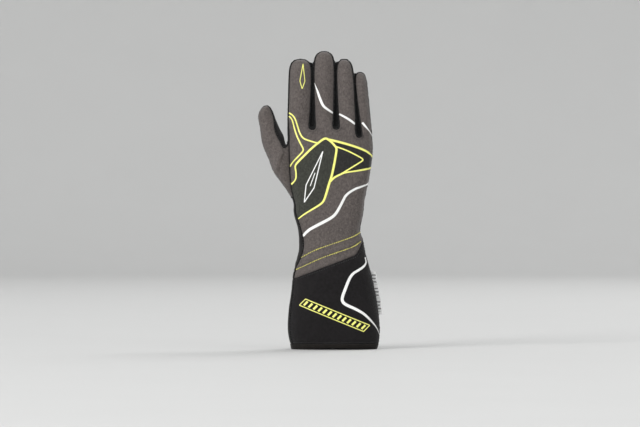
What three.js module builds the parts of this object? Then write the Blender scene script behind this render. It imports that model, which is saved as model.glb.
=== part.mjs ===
// Karting glove for the right hand, shown filled as a hand fills it: fingers up, back of the hand towards
// -Y, thumb towards -X. It is sewn from panels: a grey back, a black palm, three side strips between the
// fingers, a two-part thumb, a black gauntlet in two parts, a hem and a folded label in the gauntlet's side
// seam. The outside is one mesh of quads, laid in rings round the hand and round each finger. Each panel
// takes its own quads from it, gives them its cloth's thickness inwards, and stops short of its neighbours
// at the seams. Lengths are millimetres. The origin is the middle of the mouth, on the plane of the hem's
// lower edge.

import * as THREE from 'three';

// Heights above the hem's lower edge, on the thumb's side and on the little finger's side. The hem's lower
// edge arches up in the middle. The cuff's seam hooks up at the little side, from a share of the half width
// on, and takes some rings above and below it along.
const HEM_HEIGHT = 6;
const HEM_ARCH = 1.5;
const CUFF_SEAM_THUMB = 75.5;
const CUFF_SEAM_LITTLE = 104;
const CUFF_SEAM_HOOK = 13;
const HOOK_FROM = 0.75;
const HOOK_RINGS = 4;
const HEEL_THUMB = 149;
const HEEL_LITTLE = 168;
const KNUCKLE_THUMB = 236;
const KNUCKLE_LITTLE = 224;

// Widths and depths of the three zones of the body, and how deep the palm is hollowed
const CUFF_WIDTH = 97.8;
const CUFF_DEPTH = 54;
const WRIST_WIDTH = 64.7;
const WRIST_DEPTH = 38;
const PALM_DEPTH = 42;
const PALM_HOLLOW = 3.2;
const PALM_SHIFT = -4.3;

// The gap between neighbouring fingers, the width of the web between two roots at its edges, the share of
// it that is left halfway through, how much higher it lies there, how far the fingers lean and curl, and how
// much of a side strip shows from the front at a finger's root
const FINGER_GAP = 0.6;
const WEB_WIDTH = 6.2;
const WEB_PINCH = 0.32;
const WEB_ARCH = 3.5;
const FINGER_LEAN = 1.9;
const FINGER_CURL = 9;
const STRIP_SHOWN = 2.6;

// Each finger's length, width and thickness, and how far the web on its far side lies below KNUCKLE_THUMB
const INDEX_LENGTH = 74;
const INDEX_WIDTH = 26.4;
const INDEX_THICKNESS = 21;
const INDEX_WEB_DROP = -1.4;
const MIDDLE_LENGTH = 82;
const MIDDLE_WIDTH = 25.1;
const MIDDLE_THICKNESS = 21;
const MIDDLE_WEB_DROP = -1.9;
const RING_LENGTH = 73.6;
const RING_WIDTH = 23.9;
const RING_THICKNESS = 20;
const RING_WEB_DROP = 6.2;
const LITTLE_LENGTH = 67.6;
const LITTLE_WIDTH = 13.4;
const LITTLE_THICKNESS = 16.5;
const LITTLE_WEB_DROP = 12;


const THUMB_LENGTH = 74.6;
const THUMB_WIDTH = 19;
const THUMB_THICKNESS = 19;
const THUMB_LEAN_DEG = 21.4;
const THUMB_FORWARD = 11;

// Thickness of each cloth with its lining, and the seam left open between two panels
const BACK_CLOTH = 1.6;
const PALM_CLOTH = 1.8;
const STRIP_CLOTH = 1.2;
const THUMB_CLOTH = 1.6;
const CUFF_CLOTH = 1.8;
const HEM_CLOTH = 2.8;
const HEM_PROUD = 0.5;
const SEAM_GAP = 0.3;

// The folded label: how far it stands out of the side seam, its thickness and where it starts and ends
const LABEL_REACH = 4.8;
const LABEL_THICKNESS = 0.9;
const LABEL_FROM = 37;
const LABEL_TO = 83;
const LABEL_STEPS = 6;

// The fingers from the thumb's side. tip: the tip's width, a share of the finger's.
const FINGERS = [
  {
    name: 'index',
    length: INDEX_LENGTH,
    width: INDEX_WIDTH,
    thickness: INDEX_THICKNESS,
    tip: 0.96,
    webDrop: INDEX_WEB_DROP,
  },
  {
    name: 'middle',
    length: MIDDLE_LENGTH,
    width: MIDDLE_WIDTH,
    thickness: MIDDLE_THICKNESS,
    tip: 0.93,
    webDrop: MIDDLE_WEB_DROP,
  },
  {
    name: 'ring',
    length: RING_LENGTH,
    width: RING_WIDTH,
    thickness: RING_THICKNESS,
    tip: 0.78,
    webDrop: RING_WEB_DROP,
  },
  {
    name: 'little',
    length: LITTLE_LENGTH,
    width: LITTLE_WIDTH,
    thickness: LITTLE_THICKNESS,
    tip: 1,
    webDrop: LITTLE_WEB_DROP,
  },
];
const KNUCKLE_WIDTH = FINGERS.reduce((sum, finger) => sum + finger.width, 0) + 3 * FINGER_GAP;

// What each zone's shares refer to: heights of its foot and top on both sides, its width and its depth
const ZONES = {
  cuff: {
    foot: [HEM_HEIGHT, HEM_HEIGHT],
    top: [CUFF_SEAM_THUMB, CUFF_SEAM_LITTLE],
    width: CUFF_WIDTH,
    depth: CUFF_DEPTH,
    shift: 0,
  },
  wrist: {
    foot: [CUFF_SEAM_THUMB, CUFF_SEAM_LITTLE],
    top: [HEEL_THUMB, HEEL_LITTLE],
    width: WRIST_WIDTH,
    depth: WRIST_DEPTH,
    shift: PALM_SHIFT,
  },
  palm: {
    foot: [HEEL_THUMB, HEEL_LITTLE],
    top: [KNUCKLE_THUMB, KNUCKLE_LITTLE],
    width: KNUCKLE_WIDTH,
    depth: PALM_DEPTH,
    shift: PALM_SHIFT,
  },
};

// The rings of the body from the hem up. rise: share of the zone's height. thumb and little: reach to each
// side, shares of its width. back and palm: reach to -Y and +Y, shares of its depth. seam: where the seam on
// the thumb's side runs on the back, a share of the reach. comb: how far the columns follow the finger roots.
const RINGS = [
  { zone: 'hem', rise: 0, thumb: 0.455, little: 0.475, back: 0.46, palm: 0.465, seam: 0.955, comb: 0 },
  { zone: 'cuff', rise: 0, thumb: 0.472, little: 0.498, back: 0.475, palm: 0.475, seam: 0.955, comb: 0 },
  { zone: 'cuff', rise: 0.15, thumb: 0.496, little: 0.51, back: 0.5, palm: 0.5, seam: 0.955, comb: 0 },
  { zone: 'cuff', rise: 0.35, thumb: 0.5, little: 0.492, back: 0.5, palm: 0.51, seam: 0.958, comb: 0 },
  { zone: 'cuff', rise: 0.54, thumb: 0.49, little: 0.454, back: 0.475, palm: 0.495, seam: 0.958, comb: 0.02 },
  { zone: 'cuff', rise: 0.73, thumb: 0.474, little: 0.402, back: 0.447, palm: 0.467, seam: 0.958, comb: 0.04 },
  { zone: 'cuff', rise: 0.89, thumb: 0.461, little: 0.35, back: 0.418, palm: 0.438, seam: 0.958, comb: 0.06 },
  { zone: 'wrist', rise: 0, thumb: 0.619, little: 0.553, back: 0.57, palm: 0.6, seam: 0.96, comb: 0.1 },
  { zone: 'wrist', rise: 0.11, thumb: 0.598, little: 0.53, back: 0.523, palm: 0.535, seam: 0.955, comb: 0.14 },
  { zone: 'wrist', rise: 0.19, thumb: 0.575, little: 0.517, back: 0.535, palm: 0.548, seam: 0.935, comb: 0.18 },
  { zone: 'wrist', rise: 0.26, thumb: 0.554, little: 0.512, back: 0.497, palm: 0.505, seam: 0.89, comb: 0.22 },
  { zone: 'wrist', rise: 0.42, thumb: 0.506, little: 0.512, back: 0.487, palm: 0.508, seam: 0.86, comb: 0.32 },
  { zone: 'wrist', rise: 0.6, thumb: 0.502, little: 0.542, back: 0.49, palm: 0.545, seam: 0.895, comb: 0.44 },
  { zone: 'wrist', rise: 0.8, thumb: 0.54, little: 0.57, back: 0.495, palm: 0.595, seam: 0.94, comb: 0.56 },
  { zone: 'palm', rise: 0, thumb: 0.427, little: 0.43, back: 0.45, palm: 0.575, seam: 0.955, comb: 0.66 },
  { zone: 'palm', rise: 0.16, thumb: 0.45, little: 0.453, back: 0.445, palm: 0.585, seam: 0.96, comb: 0.76 },
  { zone: 'palm', rise: 0.36, thumb: 0.48, little: 0.476, back: 0.435, palm: 0.555, seam: 0.965, comb: 0.86 },
  { zone: 'palm', rise: 0.6, thumb: 0.4925, little: 0.496, back: 0.42, palm: 0.495, seam: 0.965, comb: 0.93 },
  { zone: 'palm', rise: 0.84, thumb: 0.5, little: 0.508, back: 0.395, palm: 0.42, seam: 0.965, comb: 0.98 },
  { zone: 'palm', rise: 1, thumb: 0.5, little: 0.5, back: 0.335, palm: 0.33, seam: 0.965, comb: 1 },
];
const HEM_TOP_INDEX = 1;
const CUFF_TOP_INDEX = 7;
const THUMB_FOOT_INDEX = 15;
const THUMB_TOP_INDEX = 18;
const KNUCKLES = RINGS.length - 1;

// The rings of a finger. rise: share of its length. half: half width, a share of its width at that height.
// deep: half thickness, a share of its thickness. strip: how much of a side strip shows from the front, a
// share of STRIP_SHOWN.
const FINGER_RINGS = [
  { rise: 0.1, half: 0.495, deep: 0.57, strip: 1 },
  { rise: 0.24, half: 0.5, deep: 0.52, strip: 0.81 },
  { rise: 0.4, half: 0.5, deep: 0.51, strip: 0.62 },
  { rise: 0.56, half: 0.5, deep: 0.5, strip: 0.46 },
  { rise: 0.72, half: 0.5, deep: 0.49, strip: 0.38 },
  { rise: 0.84, half: 0.485, deep: 0.46, strip: 0.35 },
  { rise: 0.92, half: 0.44, deep: 0.4, strip: 0.35 },
  { rise: 0.97, half: 0.345, deep: 0.3, strip: 0.31 },
  { rise: 0.992, half: 0.21, deep: 0.18, strip: 0.23 },
];

// The rings of the thumb, in a frame at its root. along: share of its length. across: the middle's offset
// towards the fingers, half: half width, both shares of its width. turn: the tilt in degrees. deep: half
// thickness, a share of its thickness. out: share of THUMB_FORWARD. brim: where the grey cloth ends on the
// side of the fingers, a share of half.
const THUMB_RINGS = [
  { along: 0.206, across: -0.27, half: 0.94, turn: 52, deep: 0.62, out: 0.22, brim: 0.7 },
  { along: 0.36, across: -0.275, half: 0.775, turn: 37, deep: 0.58, out: 0.45, brim: 0.58 },
  { along: 0.514, across: -0.305, half: 0.65, turn: 17, deep: 0.54, out: 0.7, brim: 0.53 },
  { along: 0.65, across: -0.26, half: 0.555, turn: 4, deep: 0.5, out: 0.85, brim: 0.6 },
  { along: 0.775, across: -0.185, half: 0.49, turn: 0, deep: 0.47, out: 0.95, brim: 0.82 },
  { along: 0.875, across: -0.145, half: 0.46, turn: 0, deep: 0.42, out: 1, brim: 0.88 },
  { along: 0.95, across: -0.08, half: 0.35, turn: 0, deep: 0.32, out: 1, brim: 0.88 },
  { along: 0.985, across: -0.02, half: 0.2, turn: 0, deep: 0.2, out: 1, brim: 0.88 },
];

// Dents and folds: the ring and column nearest to each, its reach in rings and in columns, and its depth, a
// share of PALM_HOLLOW
const FOLDS = [
  { at: 'crease under the thumb', ring: 13.5, column: 1.5, rings: 1.4, columns: 3, depth: 0.38 },
  { at: 'crease at the wrist', ring: 10.6, column: 15.5, rings: 0.9, columns: 3.5, depth: 0.41 },
  { at: 'hollow of the palm', ring: 16.5, column: 24, rings: 2.6, columns: 4.5, depth: 1 },
  { at: 'dent in the gauntlet', ring: 4.4, column: 11, rings: 1.6, columns: 4, depth: 0.44 },
  { at: 'sag in the gauntlet, palm side', ring: 4, column: 25, rings: 1.8, columns: 5, depth: 0.56 },
];

// Columns of a body ring: 16 on the back from the thumb's side, 2 on the little side, 16 on the palm back
// again, and 2 on the thumb's side. A finger's ring has 4, 2, 4 and 2 in the same order.
const BACK_COLUMNS = 16;
const BODY_COLUMNS = 36;
const FINGER_COLUMNS = 12;
const LITTLE_SEAM_INDEX = 17;
const PALM_FIRST_INDEX = 18;
const PALM_LAST_INDEX = 33;
const ROUNDNESS = 2.35;
const FINGER_ROUNDNESS = 2.2;
const EDGE_SHARE = 0.95;
const FINGER_SEAM = 0.96;
const THUMB_EDGE = 0.88;
const INNER_COLUMN = 0.32;
const TIP_INNER = 0.36;
const LEAST_MITRE = 0.4;

const lerp = (a, b, t) => a + (b - a) * t;
const point = (x, y, z) => new THREE.Vector3(x, y, z);

// Height of a rounded section at a share of its half width
function bulge(share, roundness) {
  return (1 - Math.abs(share) ** roundness) ** (1 / roundness);
}

// The middle of each finger at its root and tip, counted from the thumb's side
function fingerCentres() {
  let root = PALM_SHIFT - KNUCKLE_WIDTH / 2;
  let tip = root + FINGER_LEAN;
  return FINGERS.map((finger) => {
    const tipWidth = finger.width * finger.tip;
    const centre = { root: root + finger.width / 2, tip: tip + tipWidth / 2 };
    root += finger.width + FINGER_GAP;
    tip += tipWidth + FINGER_GAP;
    return centre;
  });
}
const CENTRES = fingerCentres();

// The columns of the back at the knuckles, where they are the finger roots' own, as shares of the half width
function knuckleShares() {
  const eaten = (WEB_WIDTH - FINGER_GAP) / 2;
  const shares = [];
  FINGERS.forEach((finger, i) => {
    const low = CENTRES[i].root - finger.width / 2 + (i > 0 ? eaten : 0);
    const high = CENTRES[i].root + finger.width / 2 - (i < FINGERS.length - 1 ? eaten : 0);
    for (let step = 0; step < 4; step += 1) {
      shares.push((lerp(low, high, step / 3) - PALM_SHIFT) / (KNUCKLE_WIDTH / 2));
    }
  });
  shares[BACK_COLUMNS - 1] *= EDGE_SHARE;
  return shares;
}
const KNUCKLE_SHARES = knuckleShares();

// How far the finger roots lie above or below the straight line from the thumb's side to the little side
function rootLift(column) {
  const finger = Math.floor(column / 4);
  const before = finger > 0 ? FINGERS[finger - 1].webDrop : 0;
  const drop = lerp(before, FINGERS[finger].webDrop, (column % 4) / 3);
  const straight = lerp(0, KNUCKLE_THUMB - KNUCKLE_LITTLE, column / (BACK_COLUMNS - 1));
  return straight - drop;
}

// How far a ring turns up towards the side seam on the little side, at a share of the half width
function seamHook(index, share) {
  const near = Math.max(0, 1 - Math.abs(index - CUFF_TOP_INDEX) / HOOK_RINGS);
  return CUFF_SEAM_HOOK * near * Math.max(0, (share - HOOK_FROM) / (1 - HOOK_FROM)) ** 2;
}

function ringFrame(ring) {
  if (ring.zone === 'hem') return { zone: ZONES.cuff, heights: [0, 0] };
  const zone = ZONES[ring.zone];
  return { zone, heights: [0, 1].map((side) => lerp(zone.foot[side], zone.top[side], ring.rise)) };
}

function bodyPoint(index, column) {
  const ring = RINGS[index];
  const { zone, heights } = ringFrame(ring);
  const low = zone.shift - zone.width * ring.thumb;
  const high = zone.shift + zone.width * ring.little;
  const centre = (low + high) / 2;
  const half = (high - low) / 2;
  let share;
  let depth;
  let lift = 0;
  if (column < BACK_COLUMNS || (column >= PALM_FIRST_INDEX && column <= PALM_LAST_INDEX)) {
    const back = column < BACK_COLUMNS;
    const across = back ? column : PALM_LAST_INDEX - column;
    const even = lerp(-ring.seam, EDGE_SHARE, across / (BACK_COLUMNS - 1));
    share = across === 0 ? -ring.seam : lerp(even, KNUCKLE_SHARES[across], ring.comb);
    depth = bulge(share, ROUNDNESS) * (back ? -ring.back : ring.palm);
    lift = rootLift(across) * Math.max(0, (index - THUMB_FOOT_INDEX) / (KNUCKLES - THUMB_FOOT_INDEX)) ** 2;
  } else {
    // A side's two columns lie evenly between the last ones of the back and of the palm
    const little = column < PALM_FIRST_INDEX;
    const towardsPalm = column === BACK_COLUMNS + 1 || column === PALM_LAST_INDEX + 1;
    const edge = bulge(little ? EDGE_SHARE : ring.seam, ROUNDNESS);
    depth = lerp(-edge * ring.back, edge * ring.palm, towardsPalm ? 2 / 3 : 1 / 3);
    share = bulge(depth / (depth < 0 ? ring.back : ring.palm), ROUNDNESS) * (little ? 1 : -1);
  }
  const arch = index < HEM_TOP_INDEX ? HEM_ARCH * (1 - share ** 2) : 0;
  return point(
    centre + half * share,
    depth * zone.depth,
    lerp(heights[0], heights[1], (share + 1) / 2) + lift + arch + seamHook(index, share),
  );
}

// One ring of 12 round a middle: across and deep are its half axes as vectors, edge the outer columns' share
function smallRing(middle, across, deep, lowEdge, highEdge) {
  const shares = [0, INNER_COLUMN, 1 - INNER_COLUMN, 1].map((step) => lerp(-lowEdge, highEdge, step));
  const at = (u, v) => middle.clone().addScaledVector(across, u).addScaledVector(deep, v);
  const sideAt = (side, edge, sign) => {
    const height = bulge(edge, FINGER_ROUNDNESS) / 3;
    return at(side * bulge(height, FINGER_ROUNDNESS), sign * height);
  };
  return [
    ...shares.map((u) => at(u, -bulge(u, FINGER_ROUNDNESS))),
    sideAt(1, highEdge, -1),
    sideAt(1, highEdge, 1),
    ...shares.toReversed().map((u) => at(u, bulge(u, FINGER_ROUNDNESS))),
    sideAt(-1, lowEdge, 1),
    sideAt(-1, lowEdge, -1),
  ];
}

function fingerRing(number, ring) {
  const finger = FINGERS[number];
  const drop = Math.min(number > 0 ? FINGERS[number - 1].webDrop : 0, finger.webDrop);
  const root = KNUCKLE_THUMB - drop;
  const middle = point(
    lerp(CENTRES[number].root, CENTRES[number].tip, ring.rise),
    FINGER_CURL * ring.rise ** 2,
    root + finger.length * ring.rise,
  );
  const half = finger.width * lerp(1, finger.tip, ring.rise) * ring.half;
  const deep = point(0, finger.thickness * ring.deep, 0);
  const edge = 1 - (ring.strip * STRIP_SHOWN) / half;
  const lowEdge = number === 0 ? FINGER_SEAM : edge;
  const highEdge = number === FINGERS.length - 1 ? FINGER_SEAM : edge;
  return smallRing(middle, point(half, 0, 0), deep, lowEdge, highEdge);
}

function thumbRing(root, ring) {
  const lean = THREE.MathUtils.degToRad(THUMB_LEAN_DEG);
  const turn = THREE.MathUtils.degToRad(ring.turn);
  const along = point(-Math.sin(lean), 0, Math.cos(lean));
  const towards = point(Math.cos(lean), 0, Math.sin(lean));
  const middle = root
    .clone()
    .addScaledVector(along, ring.along * THUMB_LENGTH)
    .addScaledVector(towards, ring.across * THUMB_WIDTH)
    .add(point(0, ring.out * THUMB_FORWARD, 0));
  const across = towards
    .clone()
    .multiplyScalar(Math.cos(turn))
    .addScaledVector(along, Math.sin(turn))
    .multiplyScalar(ring.half * THUMB_WIDTH);
  const deep = point(0, ring.deep * THUMB_THICKNESS, 0);
  return smallRing(middle, across, deep, THUMB_EDGE, ring.brim);
}

// The outside of the glove: vertices, and quads with the name of the panel that each belongs to
const vertices = [];
const quads = [];
const addVertex = (vertex) => vertices.push(vertex) - 1;
const addQuad = (panel, a, b, c, d) => quads.push({ panel, corners: [a, b, c, d] });

function bodyPanel(ring, column) {
  const back = column < LITTLE_SEAM_INDEX;
  if (ring < HEM_TOP_INDEX) return 'cuff_hem';
  if (ring < CUFF_TOP_INDEX) return back ? 'gauntlet_back' : 'gauntlet_palm';
  return back ? 'back_panel' : 'palm_panel';
}

function layBody() {
  const grid = RINGS.map((_, ring) =>
    Array.from({ length: BODY_COLUMNS }, (__, column) => addVertex(bodyPoint(ring, column))),
  );
  for (let ring = 0; ring < KNUCKLES; ring += 1) {
    for (let column = 0; column < BODY_COLUMNS; column += 1) {
      const thumbHole = ring >= THUMB_FOOT_INDEX && ring < THUMB_TOP_INDEX && column >= PALM_LAST_INDEX;
      const next = (column + 1) % BODY_COLUMNS;
      if (!thumbHole) {
        addQuad(
          bodyPanel(ring, column),
          grid[ring][column],
          grid[ring][next],
          grid[ring + 1][next],
          grid[ring + 1][column],
        );
      }
    }
  }
  return grid;
}

// Rings of 12 from a root ring to a closed tip. panelOf names the panel of each of the 12 columns, and the
// tip is a 3 by 3 field: its first row belongs to the back, the others to the palm.
function layTube(root, rings, panelOf, tipLift, tipBack, tipPalm) {
  let low = root;
  for (const ring of rings) {
    const high = ring.map(addVertex);
    for (let column = 0; column < FINGER_COLUMNS; column += 1) {
      const next = (column + 1) % FINGER_COLUMNS;
      addQuad(panelOf(column), low[column], low[next], high[next], high[column]);
    }
    low = high;
  }
  const corner = (column) => vertices[low[column]];
  const steps = [TIP_INNER, 1 - TIP_INNER];
  const inner = steps.flatMap((v) =>
    steps.map((u) => {
      const front = corner(0).clone().lerp(corner(3), u);
      const rear = corner(9).clone().lerp(corner(6), u);
      return addVertex(front.lerp(rear, v).add(tipLift));
    }),
  );
  const field = [
    [low[0], low[1], low[2], low[3]],
    [low[11], inner[0], inner[1], low[4]],
    [low[10], inner[2], inner[3], low[5]],
    [low[9], low[8], low[7], low[6]],
  ];
  for (let v = 0; v < 3; v += 1) {
    for (let u = 0; u < 3; u += 1) {
      const panel = v === 0 ? tipBack : tipPalm;
      addQuad(panel, field[v][u], field[v][u + 1], field[v + 1][u + 1], field[v + 1][u]);
    }
  }
}

function stripName(number) {
  return `strip_${FINGERS[number].name}_${FINGERS[number + 1].name}`;
}

function layFingers(grid) {
  const top = grid[KNUCKLES];
  const webs = FINGERS.slice(1).map((_, number) => {
    const left = 4 * number + 3;
    const through = (column, share) =>
      vertices[top[column]].clone().lerp(vertices[top[PALM_LAST_INDEX - column]], share);
    return [left, left + 1].map((column) =>
      [1 / 3, 2 / 3].map((share) => {
        const middle = through(left, share).lerp(through(left + 1, share), 0.5);
        return addVertex(middle.lerp(through(column, share), WEB_PINCH).add(point(0, 0, WEB_ARCH)));
      }),
    );
  });
  webs.forEach(([low, high], number) => {
    const left = 4 * number + 3;
    const a = [top[left], ...low, top[PALM_LAST_INDEX - left]];
    const b = [top[left + 1], ...high, top[PALM_LAST_INDEX - left - 1]];
    for (let step = 0; step < 3; step += 1) {
      addQuad(stripName(number), a[step], b[step], b[step + 1], a[step + 1]);
    }
  });
  FINGERS.forEach((_, number) => {
    const first = 4 * number;
    const last = number === FINGERS.length - 1;
    const rightSide = last ? [top[BACK_COLUMNS], top[BACK_COLUMNS + 1]] : webs[number][0];
    const thumbSide = [top[PALM_LAST_INDEX + 1], top[PALM_LAST_INDEX + 2]];
    const leftSide = number === 0 ? thumbSide : webs[number - 1][1].toReversed();
    const root = [
      ...[0, 1, 2, 3].map((step) => top[first + step]),
      ...rightSide,
      ...[3, 2, 1, 0].map((step) => top[PALM_LAST_INDEX - first - step]),
      ...leftSide,
    ];
    const panelOf = (column) => {
      if (column < 3) return 'back_panel';
      if (column < 6) {
        if (!last) return stripName(number);
        return column < 5 ? 'back_panel' : 'palm_panel';
      }
      return column < 9 || number === 0 ? 'palm_panel' : stripName(number - 1);
    };
    const rings = FINGER_RINGS.map((ring) => fingerRing(number, ring));
    const lift = point(0, 0, FINGERS[number].length * (1 - FINGER_RINGS.at(-1).rise));
    layTube(root, rings, panelOf, lift, 'back_panel', 'palm_panel');
  });
}

function layThumb(grid) {
  const rows = [0, 1, 2, 3].map((step) => grid[THUMB_FOOT_INDEX + step]);
  const foot = rows[0];
  const top = rows[3];
  const root = [
    ...rows.map((row) => row[0]),
    top[PALM_LAST_INDEX + 2],
    top[PALM_LAST_INDEX + 1],
    ...rows.toReversed().map((row) => row[PALM_LAST_INDEX]),
    foot[PALM_LAST_INDEX + 1],
    foot[PALM_LAST_INDEX + 2],
  ];
  const middle = root.reduce((sum, id) => sum.add(vertices[id]), point(0, 0, 0)).divideScalar(root.length);
  const rings = THUMB_RINGS.map((ring) => thumbRing(middle, ring));
  const panelOf = (column) => (column < 3 || column > 9 ? 'thumb_back' : 'thumb_palm');
  const lean = THREE.MathUtils.degToRad(THUMB_LEAN_DEG);
  const lift = point(-Math.sin(lean), 0, Math.cos(lean));
  lift.multiplyScalar(THUMB_LENGTH * (1 - THUMB_RINGS.at(-1).along));
  layTube(root, rings, panelOf, lift, 'thumb_back', 'thumb_palm');
}

// Outward direction at each vertex, from the quads round it
function vertexNormals() {
  const normals = vertices.map(() => point(0, 0, 0));
  for (const { corners } of quads) {
    const [a, b, c, d] = corners.map((id) => vertices[id]);
    const face = new THREE.Vector3().crossVectors(c.clone().sub(a), d.clone().sub(b));
    corners.forEach((id) => normals[id].add(face));
  }
  return normals.map((normal) => normal.normalize());
}

// Moves the body's vertices in along their normals where a fold is
function pressFolds(grid) {
  const normals = vertexNormals();
  for (const fold of FOLDS) {
    grid.forEach((row, ring) => {
      row.forEach((id, column) => {
        const away = Math.hypot((ring - fold.ring) / fold.rings, (column - fold.column) / fold.columns);
        const share = Math.cos((Math.min(away, 1) * Math.PI) / 2) ** 2;
        vertices[id].addScaledVector(normals[id], -fold.depth * PALM_HOLLOW * share);
      });
    });
  }
}

const grid = layBody();
pressFolds(grid);
layFingers(grid);
layThumb(grid);
const normals = vertexNormals();

// How far each vertex of a panel moves in from the panel's edge, so that the seam stays open
function seamOffsets(faces) {
  const used = new Map();
  for (const corners of faces) {
    corners.forEach((id, i) => used.set(`${id}_${corners[(i + 1) % 4]}`, corners));
  }
  const edges = [...used.keys()].filter((key) => !used.has(key.split('_').reverse().join('_')));
  const inwards = new Map();
  for (const key of edges) {
    const [a, b] = key.split('_').map(Number);
    const along = vertices[b].clone().sub(vertices[a]);
    const normal = normals[a].clone().add(normals[b]);
    const inward = new THREE.Vector3().crossVectors(normal, along).normalize();
    [a, b].forEach((id) => inwards.set(id, [...(inwards.get(id) ?? []), inward]));
  }
  const offsets = new Map();
  inwards.forEach((directions, id) => {
    const sum = directions.reduce((total, direction) => total.add(direction), point(0, 0, 0));
    const mitre = Math.max(LEAST_MITRE, sum.dot(directions[0]));
    offsets.set(id, sum.multiplyScalar(SEAM_GAP / 2 / mitre));
  });
  return { edges, offsets };
}

// The corners turned so that the quad's shorter diagonal runs from the first to the third
function shortDiagonalFirst(corners) {
  const [a, b, c, d] = corners.map((id) => vertices[id]);
  return a.distanceTo(c) <= b.distanceTo(d) ? corners : [...corners.slice(1), corners[0]];
}

// One panel as a closed solid: its quads outside, the same quads one cloth further in, and walls at its edge
function panelGeometry(panel, cloth, proud) {
  const faces = quads.filter((quad) => quad.panel === panel).map((quad) => quad.corners);
  const { edges, offsets } = seamOffsets(faces);
  const ids = [...new Set(faces.flat())];
  const outer = new Map(ids.map((id, i) => [id, i]));
  const places = [proud, proud - cloth].flatMap((height) =>
    ids.map((id) =>
      vertices[id]
        .clone()
        .add(offsets.get(id) ?? point(0, 0, 0))
        .addScaledVector(normals[id], height),
    ),
  );
  const inner = (id) => outer.get(id) + ids.length;
  const triangles = [];
  for (const corners of faces) {
    const [a, b, c, d] = shortDiagonalFirst(corners);
    triangles.push(outer.get(a), outer.get(b), outer.get(c), outer.get(a), outer.get(c), outer.get(d));
    triangles.push(inner(a), inner(c), inner(b), inner(a), inner(d), inner(c));
  }
  for (const key of edges) {
    const [a, b] = key.split('_').map(Number);
    const wall = [outer.get(a), inner(a), inner(b), outer.get(b)];
    const [p, q, r, s] = a < b ? wall : [...wall.slice(1), wall[0]];
    triangles.push(p, q, r, p, r, s);
  }
  return solid(places, triangles);
}

function solid(places, triangles) {
  const geometry = new THREE.BufferGeometry();
  geometry.setAttribute('position', new THREE.Float32BufferAttribute(places.flatMap((p) => p.toArray()), 3));
  geometry.setIndex(triangles);
  geometry.computeVertexNormals();
  return geometry;
}

// Where the side seam of the gauntlet lies at a height
function seamAt(height) {
  const line = grid.slice(HEM_TOP_INDEX, CUFF_TOP_INDEX + 1).map((row) => vertices[row[LITTLE_SEAM_INDEX]]);
  const found = line.findIndex((vertex) => vertex.z > height);
  const above = found < 0 ? line.length - 1 : Math.max(1, found);
  const [a, b] = [line[above - 1], line[above]];
  return a.clone().lerp(b, (height - a.z) / (b.z - a.z));
}

// The label: a strip that stands out of the side seam and follows it
function labelGeometry() {
  const places = [];
  const triangles = [];
  const sides = [
    [SEAM_GAP, -1],
    [SEAM_GAP + LABEL_REACH, -1],
    [SEAM_GAP + LABEL_REACH, 1],
    [SEAM_GAP, 1],
  ];
  for (let step = 0; step <= LABEL_STEPS; step += 1) {
    const seam = seamAt(lerp(LABEL_FROM, LABEL_TO, step / LABEL_STEPS));
    sides.forEach(([out, side]) =>
      places.push(seam.clone().add(point(out, (side * LABEL_THICKNESS) / 2, 0))),
    );
  }
  for (let step = 0; step < LABEL_STEPS; step += 1) {
    for (let side = 0; side < 4; side += 1) {
      const [a, b] = [4 * step + side, 4 * step + ((side + 1) % 4)];
      triangles.push(a, b, b + 4, a, b + 4, a + 4);
    }
  }
  const last = 4 * LABEL_STEPS;
  triangles.push(0, 2, 1, 0, 3, 2, last, last + 1, last + 2, last, last + 2, last + 3);
  return solid(places, triangles);
}

// Cloths: colour as red, green and blue, with the roughness of each
const greyKnit = new THREE.MeshStandardMaterial({ color: 0x645d5b, roughness: 0.9, metalness: 0 });
const blackSuede = new THREE.MeshStandardMaterial({ color: 0x1c1b1b, roughness: 0.95, metalness: 0 });
const blackMesh = new THREE.MeshStandardMaterial({ color: 0x161616, roughness: 0.85, metalness: 0 });
const blackTwill = new THREE.MeshStandardMaterial({ color: 0x292728, roughness: 0.88, metalness: 0 });
const hemTape = new THREE.MeshStandardMaterial({ color: 0x24221f, roughness: 0.85, metalness: 0 });
const whiteTape = new THREE.MeshStandardMaterial({ color: 0xe6e6e2, roughness: 0.7, metalness: 0 });

const PANELS = [
  { name: 'back_panel', cloth: BACK_CLOTH, proud: 0, material: greyKnit },
  { name: 'palm_panel', cloth: PALM_CLOTH, proud: 0, material: blackSuede },
  { name: stripName(0), cloth: STRIP_CLOTH, proud: 0, material: blackMesh },
  { name: stripName(1), cloth: STRIP_CLOTH, proud: 0, material: blackMesh },
  { name: stripName(2), cloth: STRIP_CLOTH, proud: 0, material: blackMesh },
  { name: 'thumb_back', cloth: THUMB_CLOTH, proud: 0, material: greyKnit },
  { name: 'thumb_palm', cloth: THUMB_CLOTH, proud: 0, material: blackSuede },
  { name: 'gauntlet_back', cloth: CUFF_CLOTH, proud: 0, material: blackTwill },
  { name: 'gauntlet_palm', cloth: CUFF_CLOTH, proud: 0, material: blackTwill },
  { name: 'cuff_hem', cloth: HEM_CLOTH, proud: HEM_PROUD, material: hemTape },
];

const glove = new THREE.Group();
for (const { name, cloth, proud, material } of PANELS) {
  const mesh = new THREE.Mesh(panelGeometry(name, cloth, proud), material);
  mesh.name = name;
  glove.add(mesh);
}
const label = new THREE.Mesh(labelGeometry(), whiteTape);
label.name = 'side_label';
glove.add(label);

export default glove;
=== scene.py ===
"""Looks of the karting glove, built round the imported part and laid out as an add-on.

The outside of the glove is one mesh of quads, laid as in the part's source, smoothed, and pressed and
gathered where the cloth is sewn. Each cloth panel takes its own faces from it. Raised seam edges, prints and
stitches lie on that outside. Lengths in the tables are millimetres; meshes are in metres.
"""

import math

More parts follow.
